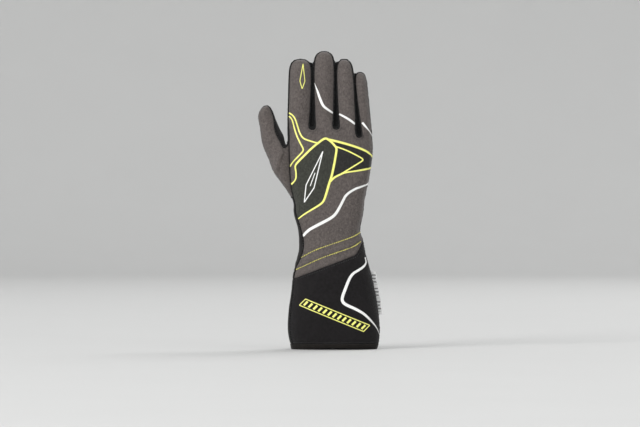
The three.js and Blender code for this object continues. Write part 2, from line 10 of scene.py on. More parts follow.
import bpy
import numpy as np
from bpy.props import FloatProperty, FloatVectorProperty, PointerProperty
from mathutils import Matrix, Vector, geometry, noise
from mathutils.bvhtree import BVHTree
from mathutils.kdtree import KDTree


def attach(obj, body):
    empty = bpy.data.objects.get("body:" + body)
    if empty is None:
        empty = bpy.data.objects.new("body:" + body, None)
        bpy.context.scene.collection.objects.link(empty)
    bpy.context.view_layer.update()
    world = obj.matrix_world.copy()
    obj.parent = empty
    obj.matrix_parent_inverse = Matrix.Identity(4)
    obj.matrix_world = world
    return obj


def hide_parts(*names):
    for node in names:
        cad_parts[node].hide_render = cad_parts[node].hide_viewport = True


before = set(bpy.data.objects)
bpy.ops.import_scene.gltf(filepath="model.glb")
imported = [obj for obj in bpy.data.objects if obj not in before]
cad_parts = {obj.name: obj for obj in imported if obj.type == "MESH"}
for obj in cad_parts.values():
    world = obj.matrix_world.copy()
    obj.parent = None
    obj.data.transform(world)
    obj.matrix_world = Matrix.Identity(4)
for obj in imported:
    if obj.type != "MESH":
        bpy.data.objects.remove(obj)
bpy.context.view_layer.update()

bl_info = {
    "name": "Karting glove",
    "version": (1, 0, 0),
    "blender": (4, 5, 0),
    "location": "3D View > Sidebar > Glove",
    "description": "Builds the cloth panels, seams, prints and stitches of a long-cuffed karting glove",
    "category": "Add Mesh",
}

MM = 0.001
BODY = "root"

# Heights, widths and depths of the body, as in the part's source
HEM_HEIGHT, HEM_ARCH = 6.0, 1.5
SEAM_THUMB, SEAM_LITTLE, SEAM_HOOK, HOOK_FROM, HOOK_RINGS = 75.5, 104.0, 13.0, 0.75, 4
HEEL_THUMB, HEEL_LITTLE = 149.0, 168.0
KNUCKLE_THUMB, KNUCKLE_LITTLE = 236.0, 224.0
CUFF_WIDTH, CUFF_DEPTH = 97.8, 54.0
WRIST_WIDTH, WRIST_DEPTH = 64.7, 38.0
PALM_DEPTH, PALM_HOLLOW, PALM_SHIFT = 42.0, 3.2, -4.3

# Fingers and thumb
FINGER_GAP, WEB_WIDTH, WEB_PINCH, WEB_ARCH = 0.6, 6.2, 0.32, 3.5
FINGER_LEAN, FINGER_CURL, STRIP_SHOWN = 1.9, 9.0, 2.6
FINGERS = [
    {"name": "index", "length": 74.0, "width": 26.4, "thickness": 21.0, "tip": 0.96, "drop": -1.4},
    {"name": "middle", "length": 82.0, "width": 25.1, "thickness": 21.0, "tip": 0.93, "drop": -1.9},
    {"name": "ring", "length": 73.6, "width": 23.9, "thickness": 20.0, "tip": 0.78, "drop": 6.2},
    {"name": "little", "length": 67.6, "width": 13.4, "thickness": 16.5, "tip": 1.0, "drop": 12.0},
]
THUMB_LENGTH, THUMB_WIDTH, THUMB_THICKNESS, THUMB_LEAN, THUMB_FORWARD = 74.6, 19.0, 19.0, 21.4, 11.0

# Cloth thickness of each panel with its material slot
CLOTH = {
    "back_panel": (1.6, "grey_knit"),
    "palm_panel": (1.8, "black_suede"),
    "strip_index_middle": (1.2, "black_mesh"),
    "strip_middle_ring": (1.2, "black_mesh"),
    "strip_ring_little": (1.2, "black_mesh"),
    "thumb_back": (1.6, "grey_knit"),
    "thumb_palm": (1.6, "black_suede"),
    "gauntlet_back": (1.8, "black_twill"),
    "gauntlet_palm": (1.8, "black_twill"),
    "cuff_hem": (2.8, "hem_tape"),
}
PANELS = list(CLOTH)
STRIPS = [name for name in PANELS if name.startswith("strip_")]
SEAM_GAP = 0.3
HEM_PROUD = 0.5

# Rings of the body: zone, rise in it, reach to the thumb's and the little side, to the back and to the palm,
# place of the thumb side's seam on the back, and how far the columns follow the finger roots
RINGS = [
    ("hem", 0, 0.455, 0.475, 0.46, 0.465, 0.955, 0),
    ("cuff", 0, 0.472, 0.498, 0.475, 0.475, 0.955, 0),
    ("cuff", 0.15, 0.496, 0.51, 0.5, 0.5, 0.955, 0),
    ("cuff", 0.35, 0.5, 0.492, 0.5, 0.51, 0.958, 0),
    ("cuff", 0.54, 0.49, 0.454, 0.475, 0.495, 0.958, 0.02),
    ("cuff", 0.73, 0.474, 0.402, 0.447, 0.467, 0.958, 0.04),
    ("cuff", 0.89, 0.461, 0.35, 0.418, 0.438, 0.958, 0.06),
    ("wrist", 0, 0.619, 0.553, 0.57, 0.6, 0.96, 0.1),
    ("wrist", 0.11, 0.598, 0.53, 0.523, 0.535, 0.955, 0.14),
    ("wrist", 0.19, 0.575, 0.517, 0.535, 0.548, 0.935, 0.18),
    ("wrist", 0.26, 0.554, 0.512, 0.497, 0.505, 0.89, 0.22),
    ("wrist", 0.42, 0.506, 0.512, 0.487, 0.508, 0.86, 0.32),
    ("wrist", 0.6, 0.502, 0.542, 0.49, 0.545, 0.895, 0.44),
    ("wrist", 0.8, 0.54, 0.57, 0.495, 0.595, 0.94, 0.56),
    ("palm", 0, 0.427, 0.43, 0.45, 0.575, 0.955, 0.66),
    ("palm", 0.16, 0.45, 0.453, 0.445, 0.585, 0.96, 0.76),
    ("palm", 0.36, 0.48, 0.476, 0.435, 0.555, 0.965, 0.86),
    ("palm", 0.6, 0.4925, 0.496, 0.42, 0.495, 0.965, 0.93),
    ("palm", 0.84, 0.5, 0.508, 0.395, 0.42, 0.965, 0.98),
    ("palm", 1, 0.5, 0.5, 0.335, 0.33, 0.965, 1),
]
HEM_TOP, CUFF_TOP, THUMB_FOOT, THUMB_TOP, KNUCKLES = 1, 7, 15, 18, len(RINGS) - 1

# Rings of a finger: rise, half width, half thickness, share of STRIP_SHOWN
FINGER_RINGS = [
    (0.1, 0.495, 0.57, 1.0),
    (0.24, 0.5, 0.52, 0.81),
    (0.4, 0.5, 0.51, 0.62),
    (0.56, 0.5, 0.5, 0.46),
    (0.72, 0.5, 0.49, 0.38),
    (0.84, 0.485, 0.46, 0.35),
    (0.92, 0.44, 0.4, 0.35),
    (0.97, 0.345, 0.3, 0.31),
    (0.992, 0.21, 0.18, 0.23),
]

# Rings of the thumb: along, across, half width, tilt, half thickness, forward, brim of the back cloth
THUMB_RINGS = [
    (0.206, -0.27, 0.94, 52, 0.62, 0.22, 0.7),
    (0.36, -0.275, 0.775, 37, 0.58, 0.45, 0.58),
    (0.514, -0.305, 0.65, 17, 0.54, 0.7, 0.53),
    (0.65, -0.26, 0.555, 4, 0.5, 0.85, 0.6),
    (0.775, -0.185, 0.49, 0, 0.47, 0.95, 0.82),
    (0.875, -0.145, 0.46, 0, 0.42, 1, 0.88),
    (0.95, -0.08, 0.35, 0, 0.32, 1, 0.88),
    (0.985, -0.02, 0.2, 0, 0.2, 1, 0.88),
]

# Dents: ring, column, reach in rings and columns, share of PALM_HOLLOW
FOLDS = [
    (13.5, 1.5, 1.4, 3, 0.38),
    (10.6, 15.5, 0.9, 3.5, 0.41),
    (16.5, 24, 2.6, 4.5, 1),
    (4.4, 11, 1.6, 4, 0.44),
    (4, 25, 1.8, 5, 0.56),
]

BACK_COLUMNS, BODY_COLUMNS = 16, 36
LITTLE_SEAM, PALM_FIRST, PALM_LAST = 17, 18, 33
ROUNDNESS, FINGER_ROUNDNESS = 2.35, 2.2
EDGE_SHARE, FINGER_SEAM, THUMB_EDGE = 0.95, 0.96, 0.88
INNER_COLUMN, TIP_INNER = 0.32, 0.36
REFINEMENTS = 3

# Creases of the palm side: start and end in X and Z, and depth
PALM_CREASES = [
    ((-38, 196), (-14, 180), 1.1),
    ((-14, 180), (-4, 160), 0.9),
    ((-40, 214), (2, 205), 1.0),
    ((-6, 215), (34, 203), 0.9),
    ((-30, 152), (14, 157), 0.8),
    ((-24, 141), (26, 145), 0.8),
    ((-28, 131), (10, 128), 0.6),
]

# How the cloth is shaped where it is sewn: the groove of a seam, the pressed row beside it on the cuff, the
# gathers at a seam, and the groove and gathers of the stitched rows at the wrist
GROOVE_DEPTH, GROOVE_WIDTH = 0.5, 0.95
PRESSED_DEPTH, PRESSED_AWAY, PRESSED_WIDTH = 0.22, 2.2, 0.8
GATHER_RISE, GATHER_LENGTH, GATHER_REACH = 0.17, 5.2, 3.2
ROW_DEPTH, ROW_WIDTH, ROW_RISE, ROW_LENGTH, ROW_REACH = 0.42, 1.1, 0.32, 4.6, 3.4

# Folds: depth and width of the crease beside the thumb, rise, width and shift of the roll beside it; place in
# each finger, width and depth of the creases at its joints; radius, width and rise of the rings at the webs
CREASE_DEPTH, CREASE_WIDTH, ROLL_RISE, ROLL_WIDTH, ROLL_SHIFT = 1.25, 1.4, 0.9, 2.8, (3.1, 1.0)
FINGER_JOINTS, JOINT_WIDTH, JOINT_DEPTH = (0.36, 0.66), 2.1, 0.85
RING_RADIUS, RING_WIDTH, RING_RISE = 4.4, 0.9, 0.3

# Uneven cloth: scales of the broad, middle and fine waves, each with its seed, and of the folds at the wrist
CLOTH_WAVES = (((34, 40, 62), 2), ((19, 22, 15), 3), ((8, 8, 5.5), 4))
WRIST_WAVES, WRIST_MIDDLE, WRIST_REACH = (24, 30, 5), 116, 30

# Where the fingers begin and how soon they are full, the end of the thumb's side, and how far wear and
# painted shade reach from a seam
FINGERS_FROM, FINGERS_FADE, THUMB_SIDE = 225, 20, -52
WEAR_AND_SHADE_REACH = 2.6

# Between the fingers: how far a strip looks for cloth, the gap it leaves, and the most that it moves
ROOM_SEEN, ROOM_LEFT, ROOM_MOST = 5.0, 0.03, 1.8

# Printed lines: section as side and height, steps along them, depth of their feet in the cloth, and least
# share of the width on a slope
RIBBON_SECTION = ((-1, 0.02), (-0.86, 0.95), (0, 1), (0.86, 0.95), (1, 0.02))
RIBBON_STEP, FOOT_DEPTH, NARROWEST = 0.7, 0.25, 0.45

# Lines carried on round the side: step and most steps, how far the cloth may still face the front, how far
# the line has to run outwards, fewest sections of a printed line, and steps in which it is full wide again
CARRY_STEP, CARRY_MOST, CARRY_FACING, CARRY_OUTWARD = 0.7, 24, 0.6, 0.5
CARRY_SHORTEST, CARRY_WIDENS = 14, 9

# The photograph's frame: width and height in pixels, millimetres to a pixel, and the pixel column of X = 0
# and the pixel row of Z = 0
FRAME_WIDTH, FRAME_HEIGHT = 640, 427
PIXEL = 1.075
PIXEL_X, PIXEL_Z = 333.5, 349.0

# Lines on the glove as pixels of that frame, from one end to the other
STITCH_LINES = [
    [
        (295.5, 260.6), (298, 259.5), (310.5, 252.2), (318.2, 248.7), (336, 242.6), (353.9, 236.3),
        (359.5, 232.6),
    ],
    [(293.5, 271), (295.2, 270), (320.7, 257.9), (337.3, 252.2), (353.9, 246.5), (360, 242)],
]
THUMB_STRIPE_HIGH = [
    (286.4, 111.3), (287.2, 111.7), (294.2, 116.4), (296.9, 123.8), (299.6, 133.2), (302.9, 138.5),
    (307.6, 140.5), (317.4, 143.4),
]
THUMB_STRIPE_LOW = [
    (286.4, 114.4), (287.2, 114.8), (292.2, 119.1), (294.2, 127.8), (296.9, 136.5), (300.9, 144.6),
    (303.6, 149.3), (302.9, 151.9), (296.9, 158), (292.9, 162), (289.6, 167.2),
]
PATCH_EDGE = [
    (289.9, 185.6), (296.2, 180.1), (296.2, 172), (294.9, 166), (298.2, 162), (305.6, 154.6),
    (312.3, 147.9), (320, 141.9), (322.9, 139.7), (326.2, 138.3), (331.6, 142.4), (336.3, 147.7),
    (336.6, 150.4), (334.3, 163.8), (331.6, 176.5), (329.2, 183.2), (326.2, 193.9), (323.9, 200.6),
    (321.5, 203.7), (313.5, 208.7), (304.1, 214.2), (297.8, 219.3), (295.6, 221.6),
]
PATCH_EDGE_SHARES = (0.85, 0.95, 0.95, 1, 1.05, 1.1, 0.8, 0.6)
KNUCKLE_STRIPE_HIGH = [
    (328.6, 139.9), (332, 140.6), (340.3, 142.6), (353.7, 146.4), (363.7, 150.1), (368.4, 152.7),
    (373.6, 157.6),
]
KNUCKLE_STRIPE_LOW = [
    (330.4, 181.4), (333.6, 177.9), (340.3, 174.5), (345.6, 172.5), (353.7, 171.5), (363.7, 169.8),
    (373.6, 167.6),
]
KNUCKLE_WEDGE = [
    (335.9, 146.8), (347, 150.7), (357, 155.8), (362.4, 158.8), (363, 160.5), (359, 163.1), (347, 170.5),
    (340.3, 174.5), (333.6, 177.9),
]
FINGER_STRIPES = [
    [(314.6, 83.2), (317.2, 90.5), (320.1, 99.4), (323.1, 106.3), (327, 109.3), (334.6, 114.4)],
    [(338.6, 114), (344.8, 117.2), (351.8, 121.6), (357.8, 127)],
    [(362.2, 122.8), (366.6, 128), (370, 132), (372.3, 136.2)],
]
WRIST_STRIPE = [
    (300, 240.4), (306.7, 231.1), (316.9, 225.4), (329.6, 219), (335.4, 214.6), (339.8, 206.9),
    (342.3, 202), (346, 194.6), (355, 188.9), (360.4, 187.2), (368, 184.2),
]
CUFF_STRIPE = [
    (365, 257.2), (366.3, 262.4), (364.1, 266.2), (358.3, 270.1), (352.6, 273.2), (348.8, 279.1),
    (345.3, 288.2), (341.8, 297.4), (342.5, 301.6), (346, 304.4), (355.8, 308.6), (364.2, 313.5),
    (371.2, 320.5), (376.8, 327.5), (379.6, 335),
]
THUMB_CREASE = [(284.5, 153), (281.6, 162), (278.75, 171.7)]
WEB_FEET = [(313.2, 127.5), (337, 127.1), (359.6, 134.6)]

# Pixels that close the dark field and the dark band under their yellow edges
FIELD_CLOSE = [(290, 221.6), (286, 185.6)]
BAND_CLOSE = [(334, 164), (336.4, 150.6)]

# A slender spearhead in shares of half its width and height, and its two sides with their shares of the
# rise, so that they do not lie in one plane where they meet
NEEDLE = [(0, 1), (0.6, -0.38), (0, -1), (-0.6, -0.38)]
NEEDLE_SIDES = [([0, 1, 2], 1.0), ([0, 3, 2], 0.8)]

# The two spearheads: middle in pixels, width and height, lean in degrees, and width of their lines
NEEDLE_YELLOW = ((302.6, 76.5), (9.0, 27.0), 2, 0.85)
NEEDLE_WHITE = ((313.6, 177), (15.0, 58.0), 20, 1.25)

# The band of bars on the cuff: the pixels of its ends, number of bars, half its height and its slant
KERB_START, KERB_END = (303.4, 302), (365.6, 327.4)
KERB_BARS, KERB_HALF, KERB_SLANT = 13, 4.3, 0.42

# The folded label: steps and points of its section, foot and top, reach with its flare and its ripple, how
# far it is sewn in, and half its thickness with its puff and its wave
LABEL_STEPS, LABEL_SECTION, LABEL_FOOT, LABEL_TOP = 40, 9, 37.0, 83.0
LABEL_REACH, LABEL_FLARE, LABEL_RIPPLE, LABEL_SEWN = 4.8, 1.3, 0.25, 0.5
LABEL_HALF, LABEL_PUFF, LABEL_WAVE = 0.2, 0.42, 0.3

# Stage, in metres: what the lights aim at, each light with its place and size, and the floor's flat part, the
# curve at its edge, the wall's height and the number of points round it
STAGE_AIM = (-0.01, 0, 0.16)
LIGHTS = [
    ("key", (-3.2, -3.3, 2.3), 2.4),
    ("fill", (3.2, -3.2, 1.4), 2.6),
    ("back", (2.2, 2.9, 3.7), 2.4),
]
FLOOR_FLAT, FLOOR_CURVE, FLOOR_WALL, FLOOR_AROUND = 4.8, 1.4, 4.5, 96


def place(pixel):
    """X and Z in millimetres of a pixel of the photograph's frame."""
    return np.array([(pixel[0] - PIXEL_X) * PIXEL, (PIXEL_Z - pixel[1]) * PIXEL])


def lerp(a, b, t):
    return a + (b - a) * t


def bulge(share, roundness):
    """Height of a rounded section at a share of its half width."""
    return max(0.0, 1 - abs(share) ** roundness) ** (1 / roundness)


KNUCKLE_WIDTH = sum(f["width"] for f in FINGERS) + 3 * FINGER_GAP
ZONES = {
    "cuff": ((HEM_HEIGHT, HEM_HEIGHT), (SEAM_THUMB, SEAM_LITTLE), CUFF_WIDTH, CUFF_DEPTH, 0.0),
    "wrist": ((SEAM_THUMB, SEAM_LITTLE), (HEEL_THUMB, HEEL_LITTLE), WRIST_WIDTH, WRIST_DEPTH, PALM_SHIFT),
    "palm": (
        (HEEL_THUMB, HEEL_LITTLE), (KNUCKLE_THUMB, KNUCKLE_LITTLE), KNUCKLE_WIDTH, PALM_DEPTH, PALM_SHIFT,
    ),
}


def finger_centres():
    """The middle of each finger at its root and its tip, counted from the thumb's side."""
    root = PALM_SHIFT - KNUCKLE_WIDTH / 2
    tip = root + FINGER_LEAN
    centres = []
    for finger in FINGERS:
        tip_width = finger["width"] * finger["tip"]
        centres.append((root + finger["width"] / 2, tip + tip_width / 2))
        root += finger["width"] + FINGER_GAP
        tip += tip_width + FINGER_GAP
    return centres


CENTRES = finger_centres()


def knuckle_shares():
    """Columns of the back at the knuckles, as shares of the half width."""
    eaten = (WEB_WIDTH - FINGER_GAP) / 2
    shares = []
    for i, finger in enumerate(FINGERS):
        low = CENTRES[i][0] - finger["width"] / 2 + (eaten if i > 0 else 0)
        high = CENTRES[i][0] + finger["width"] / 2 - (eaten if i < 3 else 0)
        shares += [(lerp(low, high, s / 3) - PALM_SHIFT) / (KNUCKLE_WIDTH / 2) for s in range(4)]
    shares[-1] *= EDGE_SHARE
    return shares


KNUCKLE_SHARES = knuckle_shares()


def root_lift(column):
    """How far the finger roots lie above the straight line between the two sides of the knuckles."""
    finger = column // 4
    before = FINGERS[finger - 1]["drop"] if finger > 0 else 0.0
    drop = lerp(before, FINGERS[finger]["drop"], (column % 4) / 3)
    return lerp(0.0, KNUCKLE_THUMB - KNUCKLE_LITTLE, column / (BACK_COLUMNS - 1)) - drop


def body_point(index, column):
    zone_name, rise, thumb, little, back, palm, seam, comb = RINGS[index]
    foot, top, width, depth_size, shift = ZONES["cuff" if zone_name == "hem" else zone_name]
    heights = [0.0, 0.0] if zone_name == "hem" else [lerp(foot[s], top[s], rise) for s in (0, 1)]
    low, high = shift - width * thumb, shift + width * little
    centre, half = (low + high) / 2, (high - low) / 2
    lift = 0.0
    if column < BACK_COLUMNS or PALM_FIRST <= column <= PALM_LAST:
        on_back = column < BACK_COLUMNS
        across = column if on_back else PALM_LAST - column
        even = lerp(-seam, EDGE_SHARE, across / (BACK_COLUMNS - 1))
        share = -seam if across == 0 else lerp(even, KNUCKLE_SHARES[across], comb)
        depth = bulge(share, ROUNDNESS) * (-back if on_back else palm)
        lift = root_lift(across) * max(0.0, (index - THUMB_FOOT) / (KNUCKLES - THUMB_FOOT)) ** 2
    else:
        on_little = column < PALM_FIRST
        towards_palm = column in (BACK_COLUMNS + 1, PALM_LAST + 1)
        edge = bulge(EDGE_SHARE if on_little else seam, ROUNDNESS)
        depth = lerp(-edge * back, edge * palm, 2 / 3 if towards_palm else 1 / 3)
        share = bulge(depth / (back if depth < 0 else palm), ROUNDNESS) * (1 if on_little else -1)
    arch = HEM_ARCH * (1 - share**2) if index < HEM_TOP else 0.0
    near = max(0.0, 1 - abs(index - CUFF_TOP) / HOOK_RINGS)
    hook = SEAM_HOOK * near * max(0.0, (share - HOOK_FROM) / (1 - HOOK_FROM)) ** 2
    height = lerp(heights[0], heights[1], (share + 1) / 2) + lift + arch + hook
    return np.array([centre + half * share, depth * depth_size, height])


def small_ring(middle, across, deep, low_edge, high_edge):
    """One ring of 12 round a middle; across and deep are its half axes."""
    shares = [lerp(-low_edge, high_edge, s) for s in (0, INNER_COLUMN, 1 - INNER_COLUMN, 1)]

    def at(u, v):
        return middle + across * u + deep * v

    def side(sign, edge, half):
        height = bulge(edge, FINGER_ROUNDNESS) / 3
        return at(sign * bulge(height, FINGER_ROUNDNESS), half * height)

    front = [at(u, -bulge(u, FINGER_ROUNDNESS)) for u in shares]
    rear = [at(u, bulge(u, FINGER_ROUNDNESS)) for u in reversed(shares)]
    right = [side(1, high_edge, -1), side(1, high_edge, 1)]
    left = [side(-1, low_edge, 1), side(-1, low_edge, -1)]
    return front + right + rear + left


def finger_ring(number, ring):
    rise, half_share, deep_share, strip = ring
    finger = FINGERS[number]
    drop = min(FINGERS[number - 1]["drop"] if number > 0 else 0.0, finger["drop"])
    middle = np.array([
        lerp(CENTRES[number][0], CENTRES[number][1], rise),
        FINGER_CURL * rise**2,
        KNUCKLE_THUMB - drop + finger["length"] * rise,
    ])
    half = finger["width"] * lerp(1, finger["tip"], rise) * half_share
    edge = 1 - strip * STRIP_SHOWN / half
    across, deep = np.array([half, 0, 0]), np.array([0, finger["thickness"] * deep_share, 0])
    low_edge, high_edge = (edge if beside_strip else FINGER_SEAM for beside_strip in (number > 0, number < 3))
    return small_ring(middle, across, deep, low_edge, high_edge)


def thumb_ring(root, ring):
    along_share, across_share, half, tilt, deep_share, out, brim = ring
    lean, turn = math.radians(THUMB_LEAN), math.radians(tilt)
    along = np.array([-math.sin(lean), 0, math.cos(lean)])
    towards = np.array([math.cos(lean), 0, math.sin(lean)])
    middle = root + along * along_share * THUMB_LENGTH + towards * across_share * THUMB_WIDTH
    middle = middle + np.array([0, out * THUMB_FORWARD, 0])
    across = (towards * math.cos(turn) + along * math.sin(turn)) * half * THUMB_WIDTH
    return small_ring(middle, across, np.array([0, deep_share * THUMB_THICKNESS, 0]), THUMB_EDGE, brim)


class Cage:
    """The coarse outside: points, quads, the panel of each quad, and cloth coordinates at its corners."""

    def __init__(self):
        self.points = []
        self.quads = []
        self.panels = []
        self.cloth = []

    def point(self, place_at):
        self.points.append(np.array(place_at, float))
        return len(self.points) - 1

    def quad(self, panel, ids, cloth):
        self.quads.append(ids)
        self.panels.append(PANELS.index(panel))
        self.cloth.append(cloth)

    def unrolled(self, ids, first, last):
        """Distance round a ring of points, zero at X = 0 between two of its columns."""
        ring = [self.points[i] for i in ids]
        steps = [np.linalg.norm(ring[(i + 1) % len(ring)] - ring[i]) for i in range(len(ring))]
        lengths = np.concatenate([[0.0], np.cumsum(steps)])
        middle = (ring[first][0] + ring[last][0]) / 2
        return lengths - (lengths[first] + lengths[last]) / 2 + middle


def lay_body(cage):
    grid = [[cage.point(body_point(r, c)) for c in range(BODY_COLUMNS)] for r in range(len(RINGS))]
    around = [cage.unrolled(row, 7, 8) for row in grid]
    for ring in range(KNUCKLES):
        for column in range(BODY_COLUMNS):
            if THUMB_FOOT <= ring < THUMB_TOP and column >= PALM_LAST:
                continue
            back = column < LITTLE_SEAM
            panel = ("gauntlet_back" if back else "gauntlet_palm") if ring < CUFF_TOP else (
                "back_panel" if back else "palm_panel")
            if ring < HEM_TOP:
                panel = "cuff_hem"
            after = (column + 1) % BODY_COLUMNS
            ids = [grid[ring][column], grid[ring][after], grid[ring + 1][after], grid[ring + 1][column]]
            low, high = around[ring], around[ring + 1]
            heights = [cage.points[i][2] for i in ids]
            cloth = [(low[column], heights[0]), (low[column + 1], heights[1]),
                     (high[column + 1], heights[2]), (high[column], heights[3])]
            cage.quad(panel, ids, cloth)
    return grid


def lay_tube(cage, root, rings, panel_of, tip_lift, tip_back, tip_palm):
    """Rings of 12 from a root to a closed tip, a field of 3 by 3 quads."""
    low = root
    low_around = cage.unrolled(low, 1, 2)
    low_height = cage.points[low[1]][2]
    for ring in rings:
        high = [cage.point(p) for p in ring]
        high_around = cage.unrolled(high, 1, 2)
        high_height = low_height + np.linalg.norm(cage.points[high[1]] - cage.points[low[1]])
        for column in range(12):
            after = (column + 1) % 12
            cloth = [(low_around[column], low_height), (low_around[column + 1], low_height),
                     (high_around[column + 1], high_height), (high_around[column], high_height)]
            cage.quad(panel_of(column), [low[column], low[after], high[after], high[column]], cloth)
        low, low_around, low_height = high, high_around, high_height
    corner = [cage.points[i] for i in low]
    inner = []
    for v in (TIP_INNER, 1 - TIP_INNER):
        for u in (TIP_INNER, 1 - TIP_INNER):
            back, palm = lerp(corner[0], corner[3], u), lerp(corner[9], corner[6], u)
            inner.append(cage.point(lerp(back, palm, v) + tip_lift))
    field = [
        [low[0], low[1], low[2], low[3]],
        [low[11], inner[0], inner[1], low[4]],
        [low[10], inner[2], inner[3], low[5]],
        [low[9], low[8], low[7], low[6]],
    ]
    for v in range(3):
        for u in range(3):
            ids = [field[v][u], field[v][u + 1], field[v + 1][u + 1], field[v + 1][u]]
            cloth = [(cage.points[i][0], low_height + cage.points[i][1] + 8) for i in ids]
            cage.quad(tip_back if v == 0 else tip_palm, ids, cloth)


def lay_fingers(cage, grid):
    top = grid[KNUCKLES]
    webs = []
    for number in range(3):
        left = 4 * number + 3

        def through(column, share):
            return lerp(cage.points[top[column]], cage.points[top[PALM_LAST - column]], share)

        web = []
        for column in (left, left + 1):
            row = []
            for share in (1 / 3, 2 / 3):
                middle = (through(left, share) + through(left + 1, share)) / 2
                pinched = lerp(middle, through(column, share), WEB_PINCH)
                row.append(cage.point(pinched + np.array([0, 0, WEB_ARCH])))
            web.append(row)
        webs.append(web)
        a = [top[left], *web[0], top[PALM_LAST - left]]
        b = [top[left + 1], *web[1], top[PALM_LAST - left - 1]]
        for step in range(3):
            ids = [a[step], b[step], b[step + 1], a[step + 1]]
            cage.quad(STRIPS[number], ids, [(cage.points[i][0], cage.points[i][1]) for i in ids])
    for number, finger in enumerate(FINGERS):
        first, last = 4 * number, number == 3
        right = [top[BACK_COLUMNS], top[BACK_COLUMNS + 1]] if last else webs[number][0]
        left_side = [top[PALM_LAST + 1], top[PALM_LAST + 2]] if number == 0 else webs[number - 1][1][::-1]
        front = [top[first + s] for s in range(4)]
        rear = [top[PALM_LAST - first - s] for s in (3, 2, 1, 0)]

        def panel_of(column, number=number, last=last):
            if column < 3:
                return "back_panel"
            if column < 6:
                return STRIPS[number] if not last else ("back_panel" if column < 5 else "palm_panel")
            return "palm_panel" if column < 9 or number == 0 else STRIPS[number - 1]

        rings = [finger_ring(number, ring) for ring in FINGER_RINGS]
        lift = np.array([0, 0, finger["length"] * (1 - FINGER_RINGS[-1][0])])
        lay_tube(cage, front + right + rear + left_side, rings, panel_of, lift, "back_panel", "palm_panel")


def lay_thumb(cage, grid):
    rows = [grid[THUMB_FOOT + s] for s in range(4)]
    foot, top = rows[0], rows[3]
    root = [row[0] for row in rows] + [top[PALM_LAST + 2], top[PALM_LAST + 1]]
    root += [row[PALM_LAST] for row in reversed(rows)] + [foot[PALM_LAST + 1], foot[PALM_LAST + 2]]
    middle = sum(cage.points[i] for i in root) / len(root)
    rings = [thumb_ring(middle, ring) for ring in THUMB_RINGS]
    lean = math.radians(THUMB_LEAN)
    lift = np.array([-math.sin(lean), 0, math.cos(lean)]) * THUMB_LENGTH * (1 - THUMB_RINGS[-1][0])

    def panel_of(column):
        return "thumb_back" if column < 3 or column > 9 else "thumb_palm"

    lay_tube(cage, root, rings, panel_of, lift, "thumb_back", "thumb_palm")


def vertex_normals(points, quads):
    """Outward direction at each point, from the quads round it."""
    a, b, c, d = (points[quads[:, i]] for i in range(4))
    face = np.cross(c - a, d - b)
    normals = np.zeros_like(points)
    for i in range(4):
        np.add.at(normals, quads[:, i], face)
    return normals / np.maximum(np.linalg.norm(normals, axis=1, keepdims=True), 1e-12)


def press_dents(cage, grid):
    points = np.array(cage.points)
    normals = vertex_normals(points, np.array(cage.quads))
    for ring_at, column_at, rings, columns, depth in FOLDS:
        for ring, row in enumerate(grid):
            for column, i in enumerate(row):
                away = math.hypot((ring - ring_at) / rings, (column - column_at) / columns)
                share = math.cos(min(away, 1) * math.pi / 2) ** 2
                cage.points[i] = cage.points[i] - normals[i] * depth * PALM_HOLLOW * share


def edges_of(quads):
    """Unique edges, the edge of each quad's side, and the two faces of each edge, -1 where there is none."""
    sides = np.stack([quads, np.roll(quads, -1, axis=1)], axis=2).reshape(-1, 2)
    edges, side_edge = np.unique(np.sort(sides, axis=1), axis=0, return_inverse=True)
    side_edge = side_edge.reshape(-1)
    faces = np.full((len(edges), 2), -1)
    face_of_side = np.repeat(np.arange(len(quads)), 4)
    order = np.argsort(side_edge, kind="stable")
    ordered = side_edge[order]
    first = np.concatenate([[True], ordered[1:] != ordered[:-1]])
    faces[ordered[first], 0] = face_of_side[order[first]]
    faces[ordered[~first], 1] = face_of_side[order[~first]]
    return edges, side_edge.reshape(-1, 4), faces


def limit_points(points, quads):
    """Where the smooth surface of a mesh of quads has each point."""
    edges, _, faces = edges_of(quads)
    count = np.bincount(edges.ravel(), minlength=len(points))[:, None].astype(float)
    near, far = np.zeros_like(points), np.zeros_like(points)
    np.add.at(near, edges[:, 0], points[edges[:, 1]])
    np.add.at(near, edges[:, 1], points[edges[:, 0]])
    for i in range(4):
        np.add.at(far, quads[:, i], points[quads[:, (i + 2) % 4]])
    limit = (count**2 * points + 4 * near + far) / (count * (count + 5))
    rim = edges[faces[:, 1] < 0]
    rim_sum = np.zeros_like(points)
    np.add.at(rim_sum, rim[:, 0], points[rim[:, 1]])
    np.add.at(rim_sum, rim[:, 1], points[rim[:, 0]])
    on_rim = np.unique(rim)
    limit[on_rim] = (4 * points[on_rim] + rim_sum[on_rim]) / 6
    return limit


